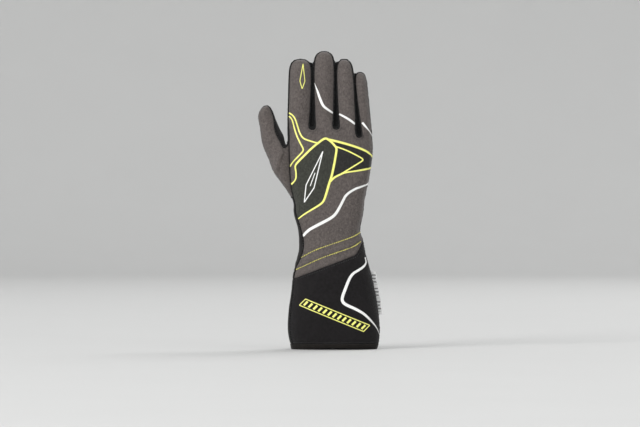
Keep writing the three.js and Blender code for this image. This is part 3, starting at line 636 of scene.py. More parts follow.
def refine(points, quads, panels, cloth):
    """One step of smoothing that splits each quad in four, with its panel and its cloth coordinates."""
    edges, side_edge, faces = edges_of(quads)
    centres = points[quads].mean(axis=1)
    middles = points[edges].mean(axis=1)
    inside = faces[:, 1] >= 0
    edge_points = middles.copy()
    edge_points[inside] = (middles[inside] + centres[faces[inside]].mean(axis=1)) / 2
    count = np.bincount(edges.ravel(), minlength=len(points))[:, None].astype(float)
    face_sum, middle_sum = np.zeros_like(points), np.zeros_like(points)
    for i in range(4):
        np.add.at(face_sum, quads[:, i], centres)
    for i in range(2):
        np.add.at(middle_sum, edges[:, i], middles)
    moved = (face_sum / count + 2 * middle_sum / count + (count - 3) * points) / count
    rim = edges[~inside]
    rim_sum = np.zeros_like(points)
    np.add.at(rim_sum, rim[:, 0], points[rim[:, 1]])
    np.add.at(rim_sum, rim[:, 1], points[rim[:, 0]])
    on_rim = np.unique(rim)
    moved[on_rim] = (6 * points[on_rim] + rim_sum[on_rim]) / 8
    edge_start = len(points)
    face_start = edge_start + len(edges)
    face_ids = face_start + np.arange(len(quads))
    cloth_middle = cloth.mean(axis=1)
    new_quads, new_cloth = [], []
    for i in range(4):
        before, after = side_edge[:, i - 1] + edge_start, side_edge[:, i] + edge_start
        new_quads.append(np.stack([quads[:, i], after, face_ids, before], axis=1))
        after_cloth = (cloth[:, i] + cloth[:, (i + 1) % 4]) / 2
        before_cloth = (cloth[:, i] + cloth[:, i - 1]) / 2
        new_cloth.append(np.stack([cloth[:, i], after_cloth, cloth_middle, before_cloth], axis=1))
    all_points = np.concatenate([moved, edge_points, centres])
    return all_points, np.concatenate(new_quads), np.tile(panels, 4), np.concatenate(new_cloth)


def chains(edges):
    """Edges joined end to end into lines; a closed line repeats its first point at its end."""
    around = {}
    for a, b in edges:
        around.setdefault(int(a), []).append(int(b))
        around.setdefault(int(b), []).append(int(a))
    used = set()
    lines = []

    def walk(start, second):
        line = [start, second]
        used.add(frozenset((start, second)))
        while len(around[line[-1]]) == 2:
            here = line[-1]
            ahead = [p for p in around[here] if frozenset((here, p)) not in used]
            if not ahead:
                break
            used.add(frozenset((here, ahead[0])))
            line.append(ahead[0])
        return line

    ends = sorted(p for p, near in around.items() if len(near) != 2)
    for start in ends + sorted(around):
        for second in sorted(around[start]):
            if frozenset((start, second)) not in used:
                lines.append(walk(start, second))
    return lines


def line_distance(points, line):
    """Distance of each point in X and Z from a line, and how far along the line its nearest place is."""
    best = np.full(len(points), np.inf)
    along = np.zeros(len(points))
    walked = 0.0
    for a, b in zip(line[:-1], line[1:]):
        span = b - a
        length = np.linalg.norm(span)
        share = np.clip((points - a) @ span / length**2, 0, 1)
        away = np.linalg.norm(points - a - share[:, None] * span, axis=1)
        nearer = away < best
        best[nearer] = away[nearer]
        along[nearer] = walked + share[nearer] * length
        walked += length
    return best, along


def turbulence(points, scale, seed):
    """Soft noise of the points, each axis divided by its own scale."""
    shift = Vector((seed * 17.3, seed * 5.1, seed * 9.7))
    scaled = points / np.array(scale)
    return np.array([noise.noise(Vector(p) + shift) for p in scaled])


def bell(value, width):
    """One where the value is zero, falling smoothly to nothing past the width."""
    return np.exp(-((value / width) ** 2))


def waves(along, length, away, reach):
    """Gathers along a sewn line, fading with the distance from it."""
    return np.cos(2 * math.pi * along / length) * np.exp(-away / reach)


def unit(rows):
    """Rows of directions, each made one long."""
    return rows / np.maximum(np.linalg.norm(rows, axis=1, keepdims=True), 1e-9)


class Skin:
    """The smooth outside with its panels, seams, gathers and folds, in millimetres."""

    def __init__(self):
        cage = Cage()
        grid = lay_body(cage)
        press_dents(cage, grid)
        lay_fingers(cage, grid)
        lay_thumb(cage, grid)
        used, quads = np.unique(np.array(cage.quads), return_inverse=True)
        aim, quads = np.array(cage.points)[used], quads.reshape(-1, 4)
        panels, cloth = np.array(cage.panels), np.array(cage.cloth)
        points = aim.copy()
        for _ in range(5):
            points = points + (aim - limit_points(points, quads))
        for _ in range(REFINEMENTS):
            points, quads, panels, cloth = refine(points, quads, panels, cloth)
        points = limit_points(points, quads)
        self.quads, self.panels, self.cloth = quads, panels, cloth
        self.edges, _, self.edge_faces = edges_of(quads)
        self.find_seams(points)
        self.points = self.sewn(points, vertex_normals(points, quads))
        self.normals = vertex_normals(self.points, quads)
        self.tree = BVHTree.FromPolygons([tuple(p) for p in self.points], quads.tolist())

    def find_seams(self, points):
        """Seam lines as lists of points with the pair of panels that each lies between."""
        inside = self.edge_faces[:, 1] >= 0
        pairs = np.full((len(self.edges), 2), -1)
        pairs[inside] = np.sort(self.panels[self.edge_faces[inside]], axis=1)
        seam = inside & (pairs[:, 0] != pairs[:, 1])
        self.seams = []
        for pair in np.unique(pairs[seam], axis=0):
            chosen = seam & (pairs == pair).all(axis=1)
            for line in chains(self.edges[chosen]):
                self.seams.append(((PANELS[pair[0]], PANELS[pair[1]]), line))
        self.seam_along = {}
        for _, line in self.seams:
            steps = np.linalg.norm(np.diff(points[line], axis=0), axis=1)
            for i, walked in zip(line, np.concatenate([[0.0], np.cumsum(steps)])):
                self.seam_along.setdefault(i, walked)

    def sewn(self, points, normals):
        """Grooves and gathers at the seams, soft folds, and the creases that the photograph shows."""
        self.seam_ids = sorted(self.seam_along)
        self.seam_tree = KDTree(len(self.seam_ids))
        for slot, i in enumerate(self.seam_ids):
            self.seam_tree.insert(points[i], slot)
        self.seam_tree.balance()
        found = [self.seam_tree.find(p) for p in points]
        away = np.array([f[2] for f in found])
        along = np.array([self.seam_along[self.seam_ids[f[1]]] for f in found])
        # Closeness to a seam, for the painted shade on the knit and the wear on the suede and twill
        self.near_seam = np.exp(-away / WEAR_AND_SHADE_REACH)
        panel_at = np.zeros(len(points), int)
        for i in range(4):
            panel_at[self.quads[:, i]] = self.panels
        strip = np.isin(panel_at, [PANELS.index(n) for n in STRIPS])
        cuff = np.isin(panel_at, [PANELS.index(n) for n in ("gauntlet_back", "gauntlet_palm", "cuff_hem")])
        height = points[:, 2]
        fingers = np.clip((height - FINGERS_FROM) / FINGERS_FADE, 0, 1) * (points[:, 0] > THUMB_SIDE)
        front = normals[:, 1] < 0.1
        flat = points[:, [0, 2]]

        lift = -GROOVE_DEPTH * bell(away, GROOVE_WIDTH)
        lift -= PRESSED_DEPTH * cuff * bell(away - PRESSED_AWAY, PRESSED_WIDTH)
        wobble = turbulence(points, (9, 9, 9), 1)
        gather = waves(along + 2.2 * wobble, GATHER_LENGTH, away, GATHER_REACH)
        lift += GATHER_RISE * gather * (1 - bell(away, 0.9)) * ~strip
        broad, middle, fine = (turbulence(points, scale, seed) for scale, seed in CLOTH_WAVES)
        hand = 0.3 * broad + 0.3 * middle + 0.09 * fine
        lift += np.where(cuff, 0.75 * broad + 0.28 * middle, hand * (1 - fingers))
        lift += fingers * np.where(strip, 0.05, 0.12) * middle
        wrist = bell(height - WRIST_MIDDLE, WRIST_REACH) * ~cuff * (1 - bell(away, 3))
        lift += 0.3 * wrist * turbulence(points, WRIST_WAVES, 5)
        lift += self.room(points, normals, strip & (fingers > 0)) * (1 - bell(away, 1.1))

        for pixels in STITCH_LINES:
            gap, walked = line_distance(flat, [place(p) for p in pixels])
            drawn = waves(walked + 1.5 * wobble, ROW_LENGTH, gap, ROW_REACH)
            lift += front * (-ROW_DEPTH * bell(gap, ROW_WIDTH) + ROW_RISE * drawn * (gap > 0.8))
        beside_thumb = [place(p) for p in THUMB_CREASE]
        gap, _ = line_distance(flat, beside_thumb)
        beside, _ = line_distance(flat + np.array(ROLL_SHIFT), beside_thumb)
        lift += front * (ROLL_RISE * bell(beside, ROLL_WIDTH) - CREASE_DEPTH * bell(gap, CREASE_WIDTH))
        for number, finger in enumerate(FINGERS):
            within = np.abs(points[:, 0] - np.mean(CENTRES[number])) < finger["width"] / 2 + 1
            for rise in FINGER_JOINTS:
                joint = KNUCKLE_THUMB - finger["drop"] * (finger["drop"] > 0) + finger["length"] * rise
                bend = (height - joint + 0.06 * (points[:, 0] - CENTRES[number][0])) / JOINT_WIDTH
                crease = bell(bend, 1) * within * (height > 228)
                lift += crease * np.where(front, 0.0, -JOINT_DEPTH) * ~strip
                lift += bell(bend, 2.4) * np.cos(bend * 2.6) * 0.07 * within * front * fingers
        for start, end, depth in PALM_CREASES:
            gap, _ = line_distance(flat, [np.array(start), np.array(end)])
            lift += (normals[:, 1] > 0.2) * -depth * bell(gap, 2.0)
        for x, z in (place(p) for p in WEB_FEET):
            ring = np.hypot(flat[:, 0] - x, flat[:, 1] - z - 1.2)
            lift += front * RING_RISE * bell(ring - RING_RADIUS, RING_WIDTH) * (flat[:, 1] < z + 2)
        return points + normals * lift[:, None]

    def room(self, points, normals, chosen):
        """How far each chosen point can move out, at most half the way to the cloth across the gap."""
        tree = BVHTree.FromPolygons([tuple(p) for p in points], self.quads.tolist())
        room = np.zeros(len(points))
        for i in np.flatnonzero(chosen):
            start = Vector(points[i] + normals[i] * 0.01)
            hit, _, _, distance = tree.ray_cast(start, Vector(normals[i]), ROOM_SEEN)
            if hit is not None:
                room[i] = max(0.0, min(distance / 2 - ROOM_LEFT, ROOM_MOST))
        near = np.bincount(self.edges.ravel(), minlength=len(points))
        for _ in range(4):
            total = np.bincount(self.edges[:, 0], room[self.edges[:, 1]], len(points))
            total += np.bincount(self.edges[:, 1], room[self.edges[:, 0]], len(points))
            room = np.where(chosen, (room + total / np.maximum(near, 1)) / 2, room)
        return room

    def front(self, x, z, panels):
        """The place and outward direction where a line of sight from the front meets one of the panels."""
        hit, _, face, _ = self.tree.ray_cast(Vector((x, -200.0, z)), Vector((0, 1, 0)))
        if hit is None or PANELS[self.panels[face]] not in panels:
            return None
        return np.array(hit), self.smooth_normal(np.array(hit), face)

    def front_near(self, middle, step, panels):
        """What the front view meets a step beside a line's middle, or nearer to it where that misses."""
        for share in (1, 0.75, 0.5, 0.25, 0):
            x, z = middle + step * share
            met = self.front(x, z, panels)
            if met is not None:
                return met
        return None

    def seams_of(self, pairs):
        """The seam lines between the given pairs of panels."""
        return [line for pair, line in self.seams if pair in pairs or pair[::-1] in pairs]

    def nearest_seam(self, met, reach=4.0):
        """The seam point nearest to a place on the cloth, or that place where no seam is near."""
        _, slot, distance = self.seam_tree.find(met[0])
        i = self.seam_ids[slot]
        return (self.points[i], self.normals[i]) if distance < reach else met

    def smooth_normal(self, at, face):
        corners = self.quads[face]
        weight = 1 / (np.linalg.norm(self.points[corners] - at, axis=1) + 1e-4)
        normal = (self.normals[corners] * weight[:, None]).sum(axis=0)
        return normal / np.linalg.norm(normal)

    def nearest(self, at):
        hit, _, face, _ = self.tree.find_nearest(Vector(at))
        return np.array(hit), self.smooth_normal(np.array(hit), face), PANELS[self.panels[face]]


_made = {}


def skin():
    if "skin" not in _made:
        _made["skin"] = Skin()
    return _made["skin"]


# Meshes


def add_piece(name, points, faces, material, cloth=None, sharp=50):
    """A piece that rides on the glove, from points in millimetres."""
    mesh = bpy.data.meshes.new(name)
    mesh.from_pydata((np.asarray(points) * MM).tolist(), [], [list(map(int, f)) for f in faces])
    mesh.polygons.foreach_set("use_smooth", np.ones(len(mesh.polygons), bool))
    if cloth is not None:
        layer = mesh.uv_layers.new(name="cloth")
        layer.data.foreach_set("uv", np.asarray(cloth, float).ravel())
    mesh.materials.append(material)
    mesh.validate()
    mesh.set_sharp_from_angle(angle=math.radians(sharp))
    piece = bpy.data.objects.new(name, mesh)
    bpy.context.scene.collection.objects.link(piece)
    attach(piece, BODY)
    return piece


def inset(points, normals, faces, amount):
    """How far each point on the edge of a panel moves in, so that the seam stays open."""
    sides = np.stack([faces, np.roll(faces, -1, axis=1)], axis=2).reshape(-1, 2)
    keys = set(map(tuple, sides.tolist()))
    open_sides = [(a, b) for a, b in keys if (b, a) not in keys]
    moves = {}
    for a, b in open_sides:
        inward = np.cross(normals[a] + normals[b], points[b] - points[a])
        inward /= max(np.linalg.norm(inward), 1e-9)
        moves.setdefault(a, []).append(inward)
        moves.setdefault(b, []).append(inward)
    shift = {}
    for i, directions in moves.items():
        total = np.sum(directions, axis=0)
        shift[i] = total * amount / max(0.4, float(total @ directions[0]))
    return open_sides, shift


def panel_piece(name, material):
    """One cloth panel as a closed shell, its outside taken from the skin."""
    outside = skin()
    thickness, slot = CLOTH[name]
    chosen = outside.panels == PANELS.index(name)
    faces, cloth = outside.quads[chosen], outside.cloth[chosen]
    proud = HEM_PROUD if name == "cuff_hem" else 0.0
    open_sides, shift = inset(outside.points, outside.normals, faces, SEAM_GAP / 2)
    ids = np.unique(faces)
    index = np.full(len(outside.points), -1)
    index[ids] = np.arange(len(ids))
    base = outside.points[ids] + np.array([shift.get(int(i), np.zeros(3)) for i in ids])
    normals = outside.normals[ids]
    points = np.concatenate([base + normals * proud, base + normals * (proud - thickness)])
    outer = index[faces]
    inner = outer[:, ::-1] + len(ids)
    walls = np.array([(index[a], index[a] + len(ids), index[b] + len(ids), index[b]) for a, b in open_sides])
    corner_cloth = {}
    for quad, corners in zip(faces, cloth):
        for i, at in zip(quad, corners):
            corner_cloth[int(i)] = at
    wall_cloth = np.array([[corner_cloth[a], corner_cloth[a] + 1, corner_cloth[b] + 1, corner_cloth[b]]
                           for a, b in open_sides])
    all_cloth = np.concatenate([cloth, cloth[:, ::-1], wall_cloth])
    all_faces = np.concatenate([outer, inner, walls])
    piece = add_piece(name + "_cloth", points, all_faces, material, all_cloth)
    near_seam = piece.data.attributes.new("near_seam", "FLOAT", "POINT")
    near_seam.data.foreach_set("value", np.tile(outside.near_seam[ids], 2))
    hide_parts(name)
    return piece


def tube_faces(count, size, closed=False):
    """Faces of a tube of rings of points, with one at each end unless its ends are joined."""
    faces = []
    for i in range(count if closed else count - 1):
        a, b = i * size, ((i + 1) % count) * size
        for k in range(size):
            faces.append([a + k, a + (k + 1) % size, b + (k + 1) % size, b + k])
    if not closed:
        faces.append(list(range(size))[::-1])
        faces.append([(count - 1) * size + k for k in range(size)])
    return faces


def sweep(line, normals, section, closed):
    """A section of (side, height) points carried along a line; returns points and faces."""
    line, normals = np.asarray(line, float), np.asarray(normals, float)
    if closed:
        tangents = np.roll(line, -1, axis=0) - np.roll(line, 1, axis=0)
    else:
        tangents = np.gradient(line, axis=0)
    sides = unit(np.cross(unit(tangents), normals))
    points = []
    for at, side, normal, row in zip(line, sides, normals, section):
        points += [at + side * s + normal * h for s, h in row]
    return points, [face[::-1] for face in tube_faces(len(line), len(section[0]), closed)]


def join_parts(parts):
    points, faces = [], []
    for part_points, part_faces in parts:
        shift = len(points)
        points += list(part_points)
        faces += [[i + shift for i in face] for face in part_faces]
    return points, faces


def smoothed(values, times, closed):
    values = np.asarray(values, float)
    for _ in range(times):
        if closed:
            values = (np.roll(values, 1, axis=0) + 2 * values + np.roll(values, -1, axis=0)) / 4
        else:
            inner = (values[:-2] + 2 * values[1:-1] + values[2:]) / 4
            values = np.concatenate([values[:1], inner, values[-1:]])
    return values


def welt(name, pairs, height, width, lean, material):
    """Raised seam edge along the seams between the given pairs of panels, a cut edge of two cloths."""
    outside = skin()
    foot = -0.35
    parts = []
    for line in outside.seams_of(pairs):
        closed = line[0] == line[-1] and len(line) > 3
        ids = line[:-1] if closed else line
        if len(ids) < 12:
            continue
        path = smoothed(outside.points[ids], 3, closed)
        normals = unit(smoothed(outside.normals[ids] + np.array(lean), 3, closed))
        _made.setdefault("welts", []).append((path, normals, height, closed))
        section = []
        for wave in turbulence(path, (1.9, 1.9, 1.9), 7):
            tall, half = height * (1 + 0.4 * wave), width / 2 * (1 + 0.2 * wave)
            section.append([(half, foot), (half, tall * 0.72), (half * 0.55, tall), (0, tall * 0.9),
                            (-half * 0.55, tall), (-half, tall * 0.72), (-half, foot)])
        parts.append(sweep(path, normals, section, closed))
    points, faces = join_parts(parts)
    return add_piece(name, points, faces, material, sharp=60)


def rounded(pixels):
    """A line of pixels in X and Z, with its corners cut soft and its ends kept."""
    return rounded_line(np.array([place(p) for p in pixels]), 2)


def rounded_line(line, times):
    for _ in range(times):
        low, high = lerp(line[:-1], line[1:], 0.25), lerp(line[:-1], line[1:], 0.75)
        middle = np.stack([low, high], axis=1).reshape(-1, 2)
        line = np.concatenate([line[:1], middle[1:-1], line[-1:]])
    return line


def even_steps(line, step):
    """Points at even steps along a line."""
    line = np.asarray(line, float)
    lengths = np.concatenate([[0.0], np.cumsum(np.linalg.norm(np.diff(line, axis=0), axis=1))])
    count = max(2, int(round(lengths[-1] / step)) + 1)
    at = np.linspace(0, lengths[-1], count)
    return np.stack([np.interp(at, lengths, line[:, k]) for k in range(line.shape[1])], axis=1)


def carried_on(points, panels):
    """Places, normals and sideways directions past the last point of a line, on over the cloth to the seam.

    The line is carried on only where it runs out over the edge that is seen from the front.
    """
    outside = skin()
    at, normal, _ = outside.nearest(points[-1])
    ahead = points[-1] - points[-3]
    flat = ahead[[0, 2]] / max(np.linalg.norm(ahead[[0, 2]]), 1e-9)
    if abs(normal[1]) > CARRY_FACING or flat[0] * np.sign(normal[0]) < CARRY_OUTWARD:
        return []
    more = []
    for _ in range(CARRY_MOST):
        ahead = ahead - normal * ahead.dot(normal)
        ahead /= np.linalg.norm(ahead)
        at, normal, panel = outside.nearest(at + ahead * CARRY_STEP)
        if panel not in panels:
            break
        more.append((at, normal, np.cross(ahead, normal)))
    return more


def ribbon_row(met, rise):
    """One section of a printed line over places on the cloth, with a foot in the cloth at each side."""
    tops = [at + normal * rise * share for (at, normal), (_, share) in zip(met, RIBBON_SECTION)]
    feet = [at - normal * FOOT_DEPTH for at, normal in (met[0], met[-1])]
    return [feet[0], *tops, feet[1]]


def ribbon_ends(run, panels, rise):
    """The sections of a printed line with those that carry it on to the seam, back to its own width."""
    outside = skin()
    cut = run[:-2]
    more = carried_on([row[3] for row in cut], panels) if len(run) > CARRY_SHORTEST else []
    if not more:
        return run
    run, steady = cut, cut[-22:-10]
    across = run[-1][5] - run[-1][1]
    narrow = np.linalg.norm(across)
    wide = max(narrow, np.median([np.linalg.norm(row[5] - row[1]) for row in steady]))
    for k, (at, _, side) in enumerate(more):
        side = side * np.sign(side.dot(across)) * lerp(narrow, wide, min(1.0, k / CARRY_WIDENS)) / 2
        run.append(ribbon_row([outside.nearest(at + side * s)[:2] for s, _ in RIBBON_SECTION], rise))
    return run


def ribbon(line, widths, panels, rise):
    """A printed line laid on the front: a low flat band with its feet in the cloth."""
    outside = skin()
    line = even_steps(line, RIBBON_STEP)
    tangents = unit(np.gradient(line, axis=0))
    across = np.stack([tangents[:, 1], -tangents[:, 0]], axis=1)
    share = np.linspace(0, 1, len(line))
    halves = np.interp(share, np.linspace(0, 1, len(widths)), widths) / 2
    runs = [[]]
    for middle, side, half in zip(line, across, halves):
        met = outside.front(middle[0], middle[1], panels)
        if met is not None:
            slope = (met[1][0] * side[0] + met[1][2] * side[1]) / min(met[1][1], -0.05)
            half *= max(NARROWEST, 1 / math.sqrt(1 + slope**2))
        met = [outside.front_near(middle, side * half * s, panels) for s, _ in RIBBON_SECTION]
        if all(m is not None for m in met):
            runs[-1].append(ribbon_row(met, rise))
        elif runs[-1]:
            runs.append([])
    parts = []
    for run in runs:
        if len(run) > 2:
            run = ribbon_ends(run, panels, rise)
            run = ribbon_ends(run[::-1], panels, rise)[::-1]
            parts.append(([p for row in run for p in row], tube_faces(len(run), len(run[0]))))
    return join_parts(parts)


def patch(outline, panels, rise, inward, spacing):
    """A printed field inside an outline in X and Z, laid on the front as a thin closed sheet.

    What lies past the panel's seam is drawn back to it, in small steps in the direction inward along X.
    """
    outside = skin()
    edge = even_steps(np.concatenate([outline, outline[:1]]), spacing)[:-1]
    low, high = edge.min(axis=0), edge.max(axis=0)
    inner = []
    for i, x in enumerate(np.arange(low[0], high[0], spacing)):
        for z in np.arange(low[1] + (i % 2) * spacing / 2, high[1], spacing):
            at = np.array([x, z])
            if inside_outline(at, edge) and np.linalg.norm(edge - at, axis=1).min() > 0.6 * spacing:
                inner.append((x, z))
    flat = [Vector(p) for p in edge.tolist() + inner]
    sides = [(i, (i + 1) % len(edge)) for i in range(len(edge))]
    made = geometry.delaunay_2d_cdt(flat, sides, [], 1, 1e-4)
    met = [outside.front(p[0], p[1], panels) for p in made[0]]
    on_panel = [m is not None for m in met]
    steps, step = 80, 0.08
    for i, p in enumerate(made[0]):
        for k in range(1, steps):
            if met[i] is None:
                met[i] = outside.front(p[0] + inward * k * step, p[1], panels)
        if met[i] is not None and not on_panel[i]:
            met[i] = outside.nearest_seam(met[i])
    places = {}
    first = [i if m is None else places.setdefault(tuple(np.round(m[0], 3)), i) for i, m in enumerate(met)]
    faces = []
    for f in made[2]:
        corners = [first[i] for i in f]
        if any(on_panel[i] for i in f) and all(met[i] is not None for i in f) and len(set(corners)) == 3:
            faces.append(corners)
    used = sorted({i for f in faces for i in f})
    index = {i: k for k, i in enumerate(used)}
    faces = [[index[i] for i in f] for f in faces]
    outward = []
    flat = [made[0][i] for i in used]
    for f in faces:
        a, b, c = (flat[i] for i in f)
        outward.append(f if (b - a).cross(c - a) > 0 else f[::-1])
    return thin_sheet([met[i] for i in used], outward, rise)


def thin_sheet(met, outward, rise):
    """Points, faces and cloth places of a closed sheet over faces that lie on the cloth."""
    count = len(met)
    top = [m[0] + m[1] * rise for m in met]
    below = [m[0] - m[1] * FOOT_DEPTH for m in met]
    keys = {(f[i], f[(i + 1) % len(f)]) for f in outward for i in range(len(f))}
    under = [[i + count for i in f[::-1]] for f in outward]
    walls = [[b, a, a + count, b + count] for a, b in keys if (b, a) not in keys]
    cloth = [(p[0], p[2]) for p in top + below]
    faces = outward + under + walls
    return top + below, faces, [cloth[i] for f in faces for i in f]


def inside_outline(at, edge):
    a, b = edge, np.roll(edge, -1, axis=0)
    crosses = (a[:, 1] > at[1]) != (b[:, 1] > at[1])
    a, b = a[crosses], b[crosses]
    reach = a[:, 0] + (at[1] - a[:, 1]) / (b[:, 1] - a[:, 1]) * (b[:, 0] - a[:, 0])
    return (reach > at[0]).sum() % 2 == 1


# Materials


def set_socket(tree, node, socket, value):
    """Links a value that comes from another node, and sets one that is a constant."""
    if isinstance(value, bpy.types.NodeSocket):
        tree.links.new(value, node.inputs[socket])
    else:
        node.inputs[socket].default_value = value


def add_node(tree, kind, sockets=(), **properties):
    node = tree.nodes.new(kind)
    for name, value in properties.items():
        setattr(node, name, value)
    for socket, value in dict(sockets).items():
        set_socket(tree, node, socket, value)
    return node


class Finish:
    """A material's nodes, added one at a time."""

    def __init__(self, name, roughness, sheen=0.0, specular=0.5, sheen_roughness=0.5):
        self.material = bpy.data.materials.new(name)
        self.material.use_nodes = True
        self.tree = self.material.node_tree
        self.shader("Roughness", roughness)
        self.shader("Sheen Weight", sheen)
        self.shader("Sheen Roughness", sheen_roughness)
        self.shader("Specular IOR Level", specular)

    def shader(self, socket, value):
        set_socket(self.tree, self.tree.nodes["Principled BSDF"], socket, value)

    def dressed(self, colour, relief):
        """The material, once its colour and its relief reach the shader."""
        self.shader("Base Color", colour)
        self.shader("Normal", relief)
        return self.material

    def add(self, kind, sockets=(), **properties):
        return add_node(self.tree, kind, sockets, **properties)

    def math(self, operation, a, b=0.0, c=0.0):
        return self.add("ShaderNodeMath", {0: a, 1: b, 2: c}, operation=operation).outputs[0]

    def times(self, a, b):
        return self.math("MULTIPLY", a, b)

    def wave(self, value, length):
        """A wave from -1 to 1 that comes back after each length of the value."""
        return self.math("SINE", self.times(value, 2 * math.pi / length))

    def object_place(self):
        return self.add("ShaderNodeTexCoord").outputs["Object"]

    def cloth_place(self):
        split = self.add("ShaderNodeSeparateXYZ", {0: self.add("ShaderNodeUVMap", uv_map="cloth").outputs[0]})
        return split.outputs[0], split.outputs[1]

    def noise(self, place_at, scale, detail=3.0, rough=0.55, stretch=None):
        if stretch is not None:
            place_at = self.add("ShaderNodeMapping", {"Vector": place_at, "Scale": stretch}).outputs[0]
        sockets = {"Vector": place_at, "Scale": scale, "Detail": detail, "Roughness": rough}
        return self.add("ShaderNodeTexNoise", sockets).outputs["Fac"]

    def mix(self, share, a, b):
        return self.add("ShaderNodeMix", {0: share, 6: a, 7: b}, data_type="RGBA").outputs[2]

    def near_seam(self):
        return self.add("ShaderNodeAttribute", attribute_name="near_seam").outputs["Fac"]

    def spread(self, value, low, high, to_low=0.0, to_high=1.0):
        sockets = {0: value, 1: low, 2: high, 3: to_low, 4: to_high}
        return self.add("ShaderNodeMapRange", sockets).outputs[0]

    def bump(self, height, strength, distance, under=None):
        sockets = {"Height": height, "Strength": strength, "Distance": distance}
        if under is not None:
            sockets["Normal"] = under
        return self.add("ShaderNodeBump", sockets).outputs[0]


def shade(colour, factor):
    return (*(min(1.0, c * factor) for c in colour[:3]), 1.0)


def knit_height(finish, pitch, row):
    """Jersey knit: columns of small slanted loops, from the cloth coordinates."""
    u, v = finish.cloth_place()
    column = finish.math("FRACT", finish.math("DIVIDE", u, pitch))
    fold = finish.times(finish.math("ABSOLUTE", finish.math("SUBTRACT", column, 0.5)), 1.1)
    loops = finish.wave(finish.math("ADD", finish.math("DIVIDE", v, row), fold), 1)
    return finish.times(finish.wave(column, 2), finish.math("MULTIPLY_ADD", loops, 0.4, 0.6))


def knit_finish(name, colour, pitch=0.95, row=0.8, depth=0.00018, variety=0.42):
    finish = Finish(name, 0.88, sheen=0.22, specular=0.25, sheen_roughness=0.45)
    height = knit_height(finish, pitch, row)
    at = finish.object_place()
    heather = finish.noise(at, 1300, 2, 0.6, (1.0, 1.0, 0.35))
    mottle = finish.noise(at, 430, 4, 0.75)
    broad = finish.noise(at, 26, 2, 0.5)
    tone = finish.math("ADD", finish.times(heather, 0.4), finish.times(mottle, 0.6))
    base = finish.mix(finish.spread(tone, 0.38, 0.62), shade(colour, 1 - variety), shade(colour, 1 + variety))
    # Darker between the knit's loops, where its relief is low: painted shade
    lit = finish.mix(finish.spread(height, 0.0, 0.5, 0.34, 0.0), base, shade(colour, 0.45))
    tone_and_seam_shade = finish.mix(finish.spread(broad, 0.35, 0.7, 0.0, 0.16), lit, shade(colour, 0.72))
    # Darker near the seams: painted shade
    tone_and_seam_shade = finish.mix(finish.times(finish.near_seam(), 0.45), tone_and_seam_shade, shade(colour, 0.5))
    soft = finish.bump(finish.math("ADD", heather, mottle), 0.25, 0.00022)
    return finish.dressed(tone_and_seam_shade, finish.bump(height, 0.75, depth, soft))


def twill_finish(name, colour, pitch=0.8, depth=0.00014):
    finish = Finish(name, 0.85, sheen=0.08, specular=0.18, sheen_roughness=0.4)
    u, v = finish.cloth_place()
    slant = finish.math("DIVIDE", finish.math("ADD", u, finish.times(v, 0.8)), pitch)
    height = finish.math("MULTIPLY_ADD", finish.wave(v, 0.42), 0.22, finish.wave(slant, 1))
    at = finish.object_place()
    mottle = finish.noise(at, 300, 3, 0.6)
    broad = finish.noise(at, 22, 2, 0.5)
    base = finish.mix(finish.spread(mottle, 0.35, 0.65), shade(colour, 0.78), shade(colour, 1.25))
    # Darker in the hollows of the twill, where its relief is low: painted shade
    base = finish.mix(finish.spread(height, -1, 0.2, 0.35, 0.0), base, shade(colour, 0.5))
    base = finish.mix(finish.spread(broad, 0.4, 0.72, 0.0, 0.4), base, shade(colour, 1.35))
    rubbed = finish.times(finish.near_seam(), finish.spread(mottle, 0.35, 0.6, 0.0, 0.7))
    base = finish.mix(rubbed, base, shade(colour, 1.8))
    soft = finish.bump(mottle, 0.25, 0.0002)
    return finish.dressed(base, finish.bump(height, 0.5, depth, soft))


def mesh_finish(name, colour):
    finish = Finish(name, 0.85, sheen=0.06, specular=0.18)
    u, v = finish.cloth_place()
    height = finish.times(finish.wave(u, 0.9), finish.wave(v, 1.15))
    mottle = finish.noise(finish.object_place(), 400, 2)
    base = finish.mix(finish.spread(mottle, 0.3, 0.7), shade(colour, 0.75), shade(colour, 1.25))
    # Darker in the hollows of the mesh, where its relief is low: painted shade
    base = finish.mix(finish.spread(height, -0.6, 0.4, 0.6, 0.0), base, shade(colour, 0.35))
    return finish.dressed(base, finish.bump(height, 0.6, 0.00018))


def suede_finish(name, colour):
    finish = Finish(name, 0.93, sheen=0.16, specular=0.12, sheen_roughness=0.4)
    at = finish.object_place()
    nap = finish.noise(at, 1300, 4, 0.7, (1.0, 1.0, 0.45))
    brushed = finish.noise(at, 120, 4, 0.6, (1.0, 1.0, 0.6))
    broad = finish.noise(at, 24, 3, 0.55)
    base = finish.mix(finish.spread(brushed, 0.32, 0.68), shade(colour, 0.66), shade(colour, 1.45))
    base = finish.mix(finish.spread(broad, 0.45, 0.75, 0.0, 0.5), base, shade(colour, 1.7))
    rubbed = finish.times(finish.near_seam(), finish.spread(brushed, 0.4, 0.6, 0.0, 0.6))
    base = finish.mix(rubbed, base, shade(colour, 2.2))
    base = finish.mix(finish.spread(nap, 0.3, 0.6, 0.4, 0.0), base, shade(colour, 0.5))
    coarse = finish.bump(brushed, 0.25, 0.0004)
    return finish.dressed(base, finish.bump(nap, 0.55, 0.0002, coarse))


def print_finish(name, colour):
    finish = Finish(name, 0.5, sheen=0.05, specular=0.45)
    at = finish.object_place()
    grain = finish.noise(at, 1100, 2, 0.6)
    mottle = finish.noise(at, 180, 2, 0.5)
    base = finish.mix(finish.spread(mottle, 0.35, 0.65), shade(colour, 0.93), shade(colour, 1.0))
    base = finish.mix(finish.spread(grain, 0.25, 0.45, 0.3, 0.0), base, shade(colour, 0.8))
    return finish.dressed(base, finish.bump(grain, 0.3, 0.00012))


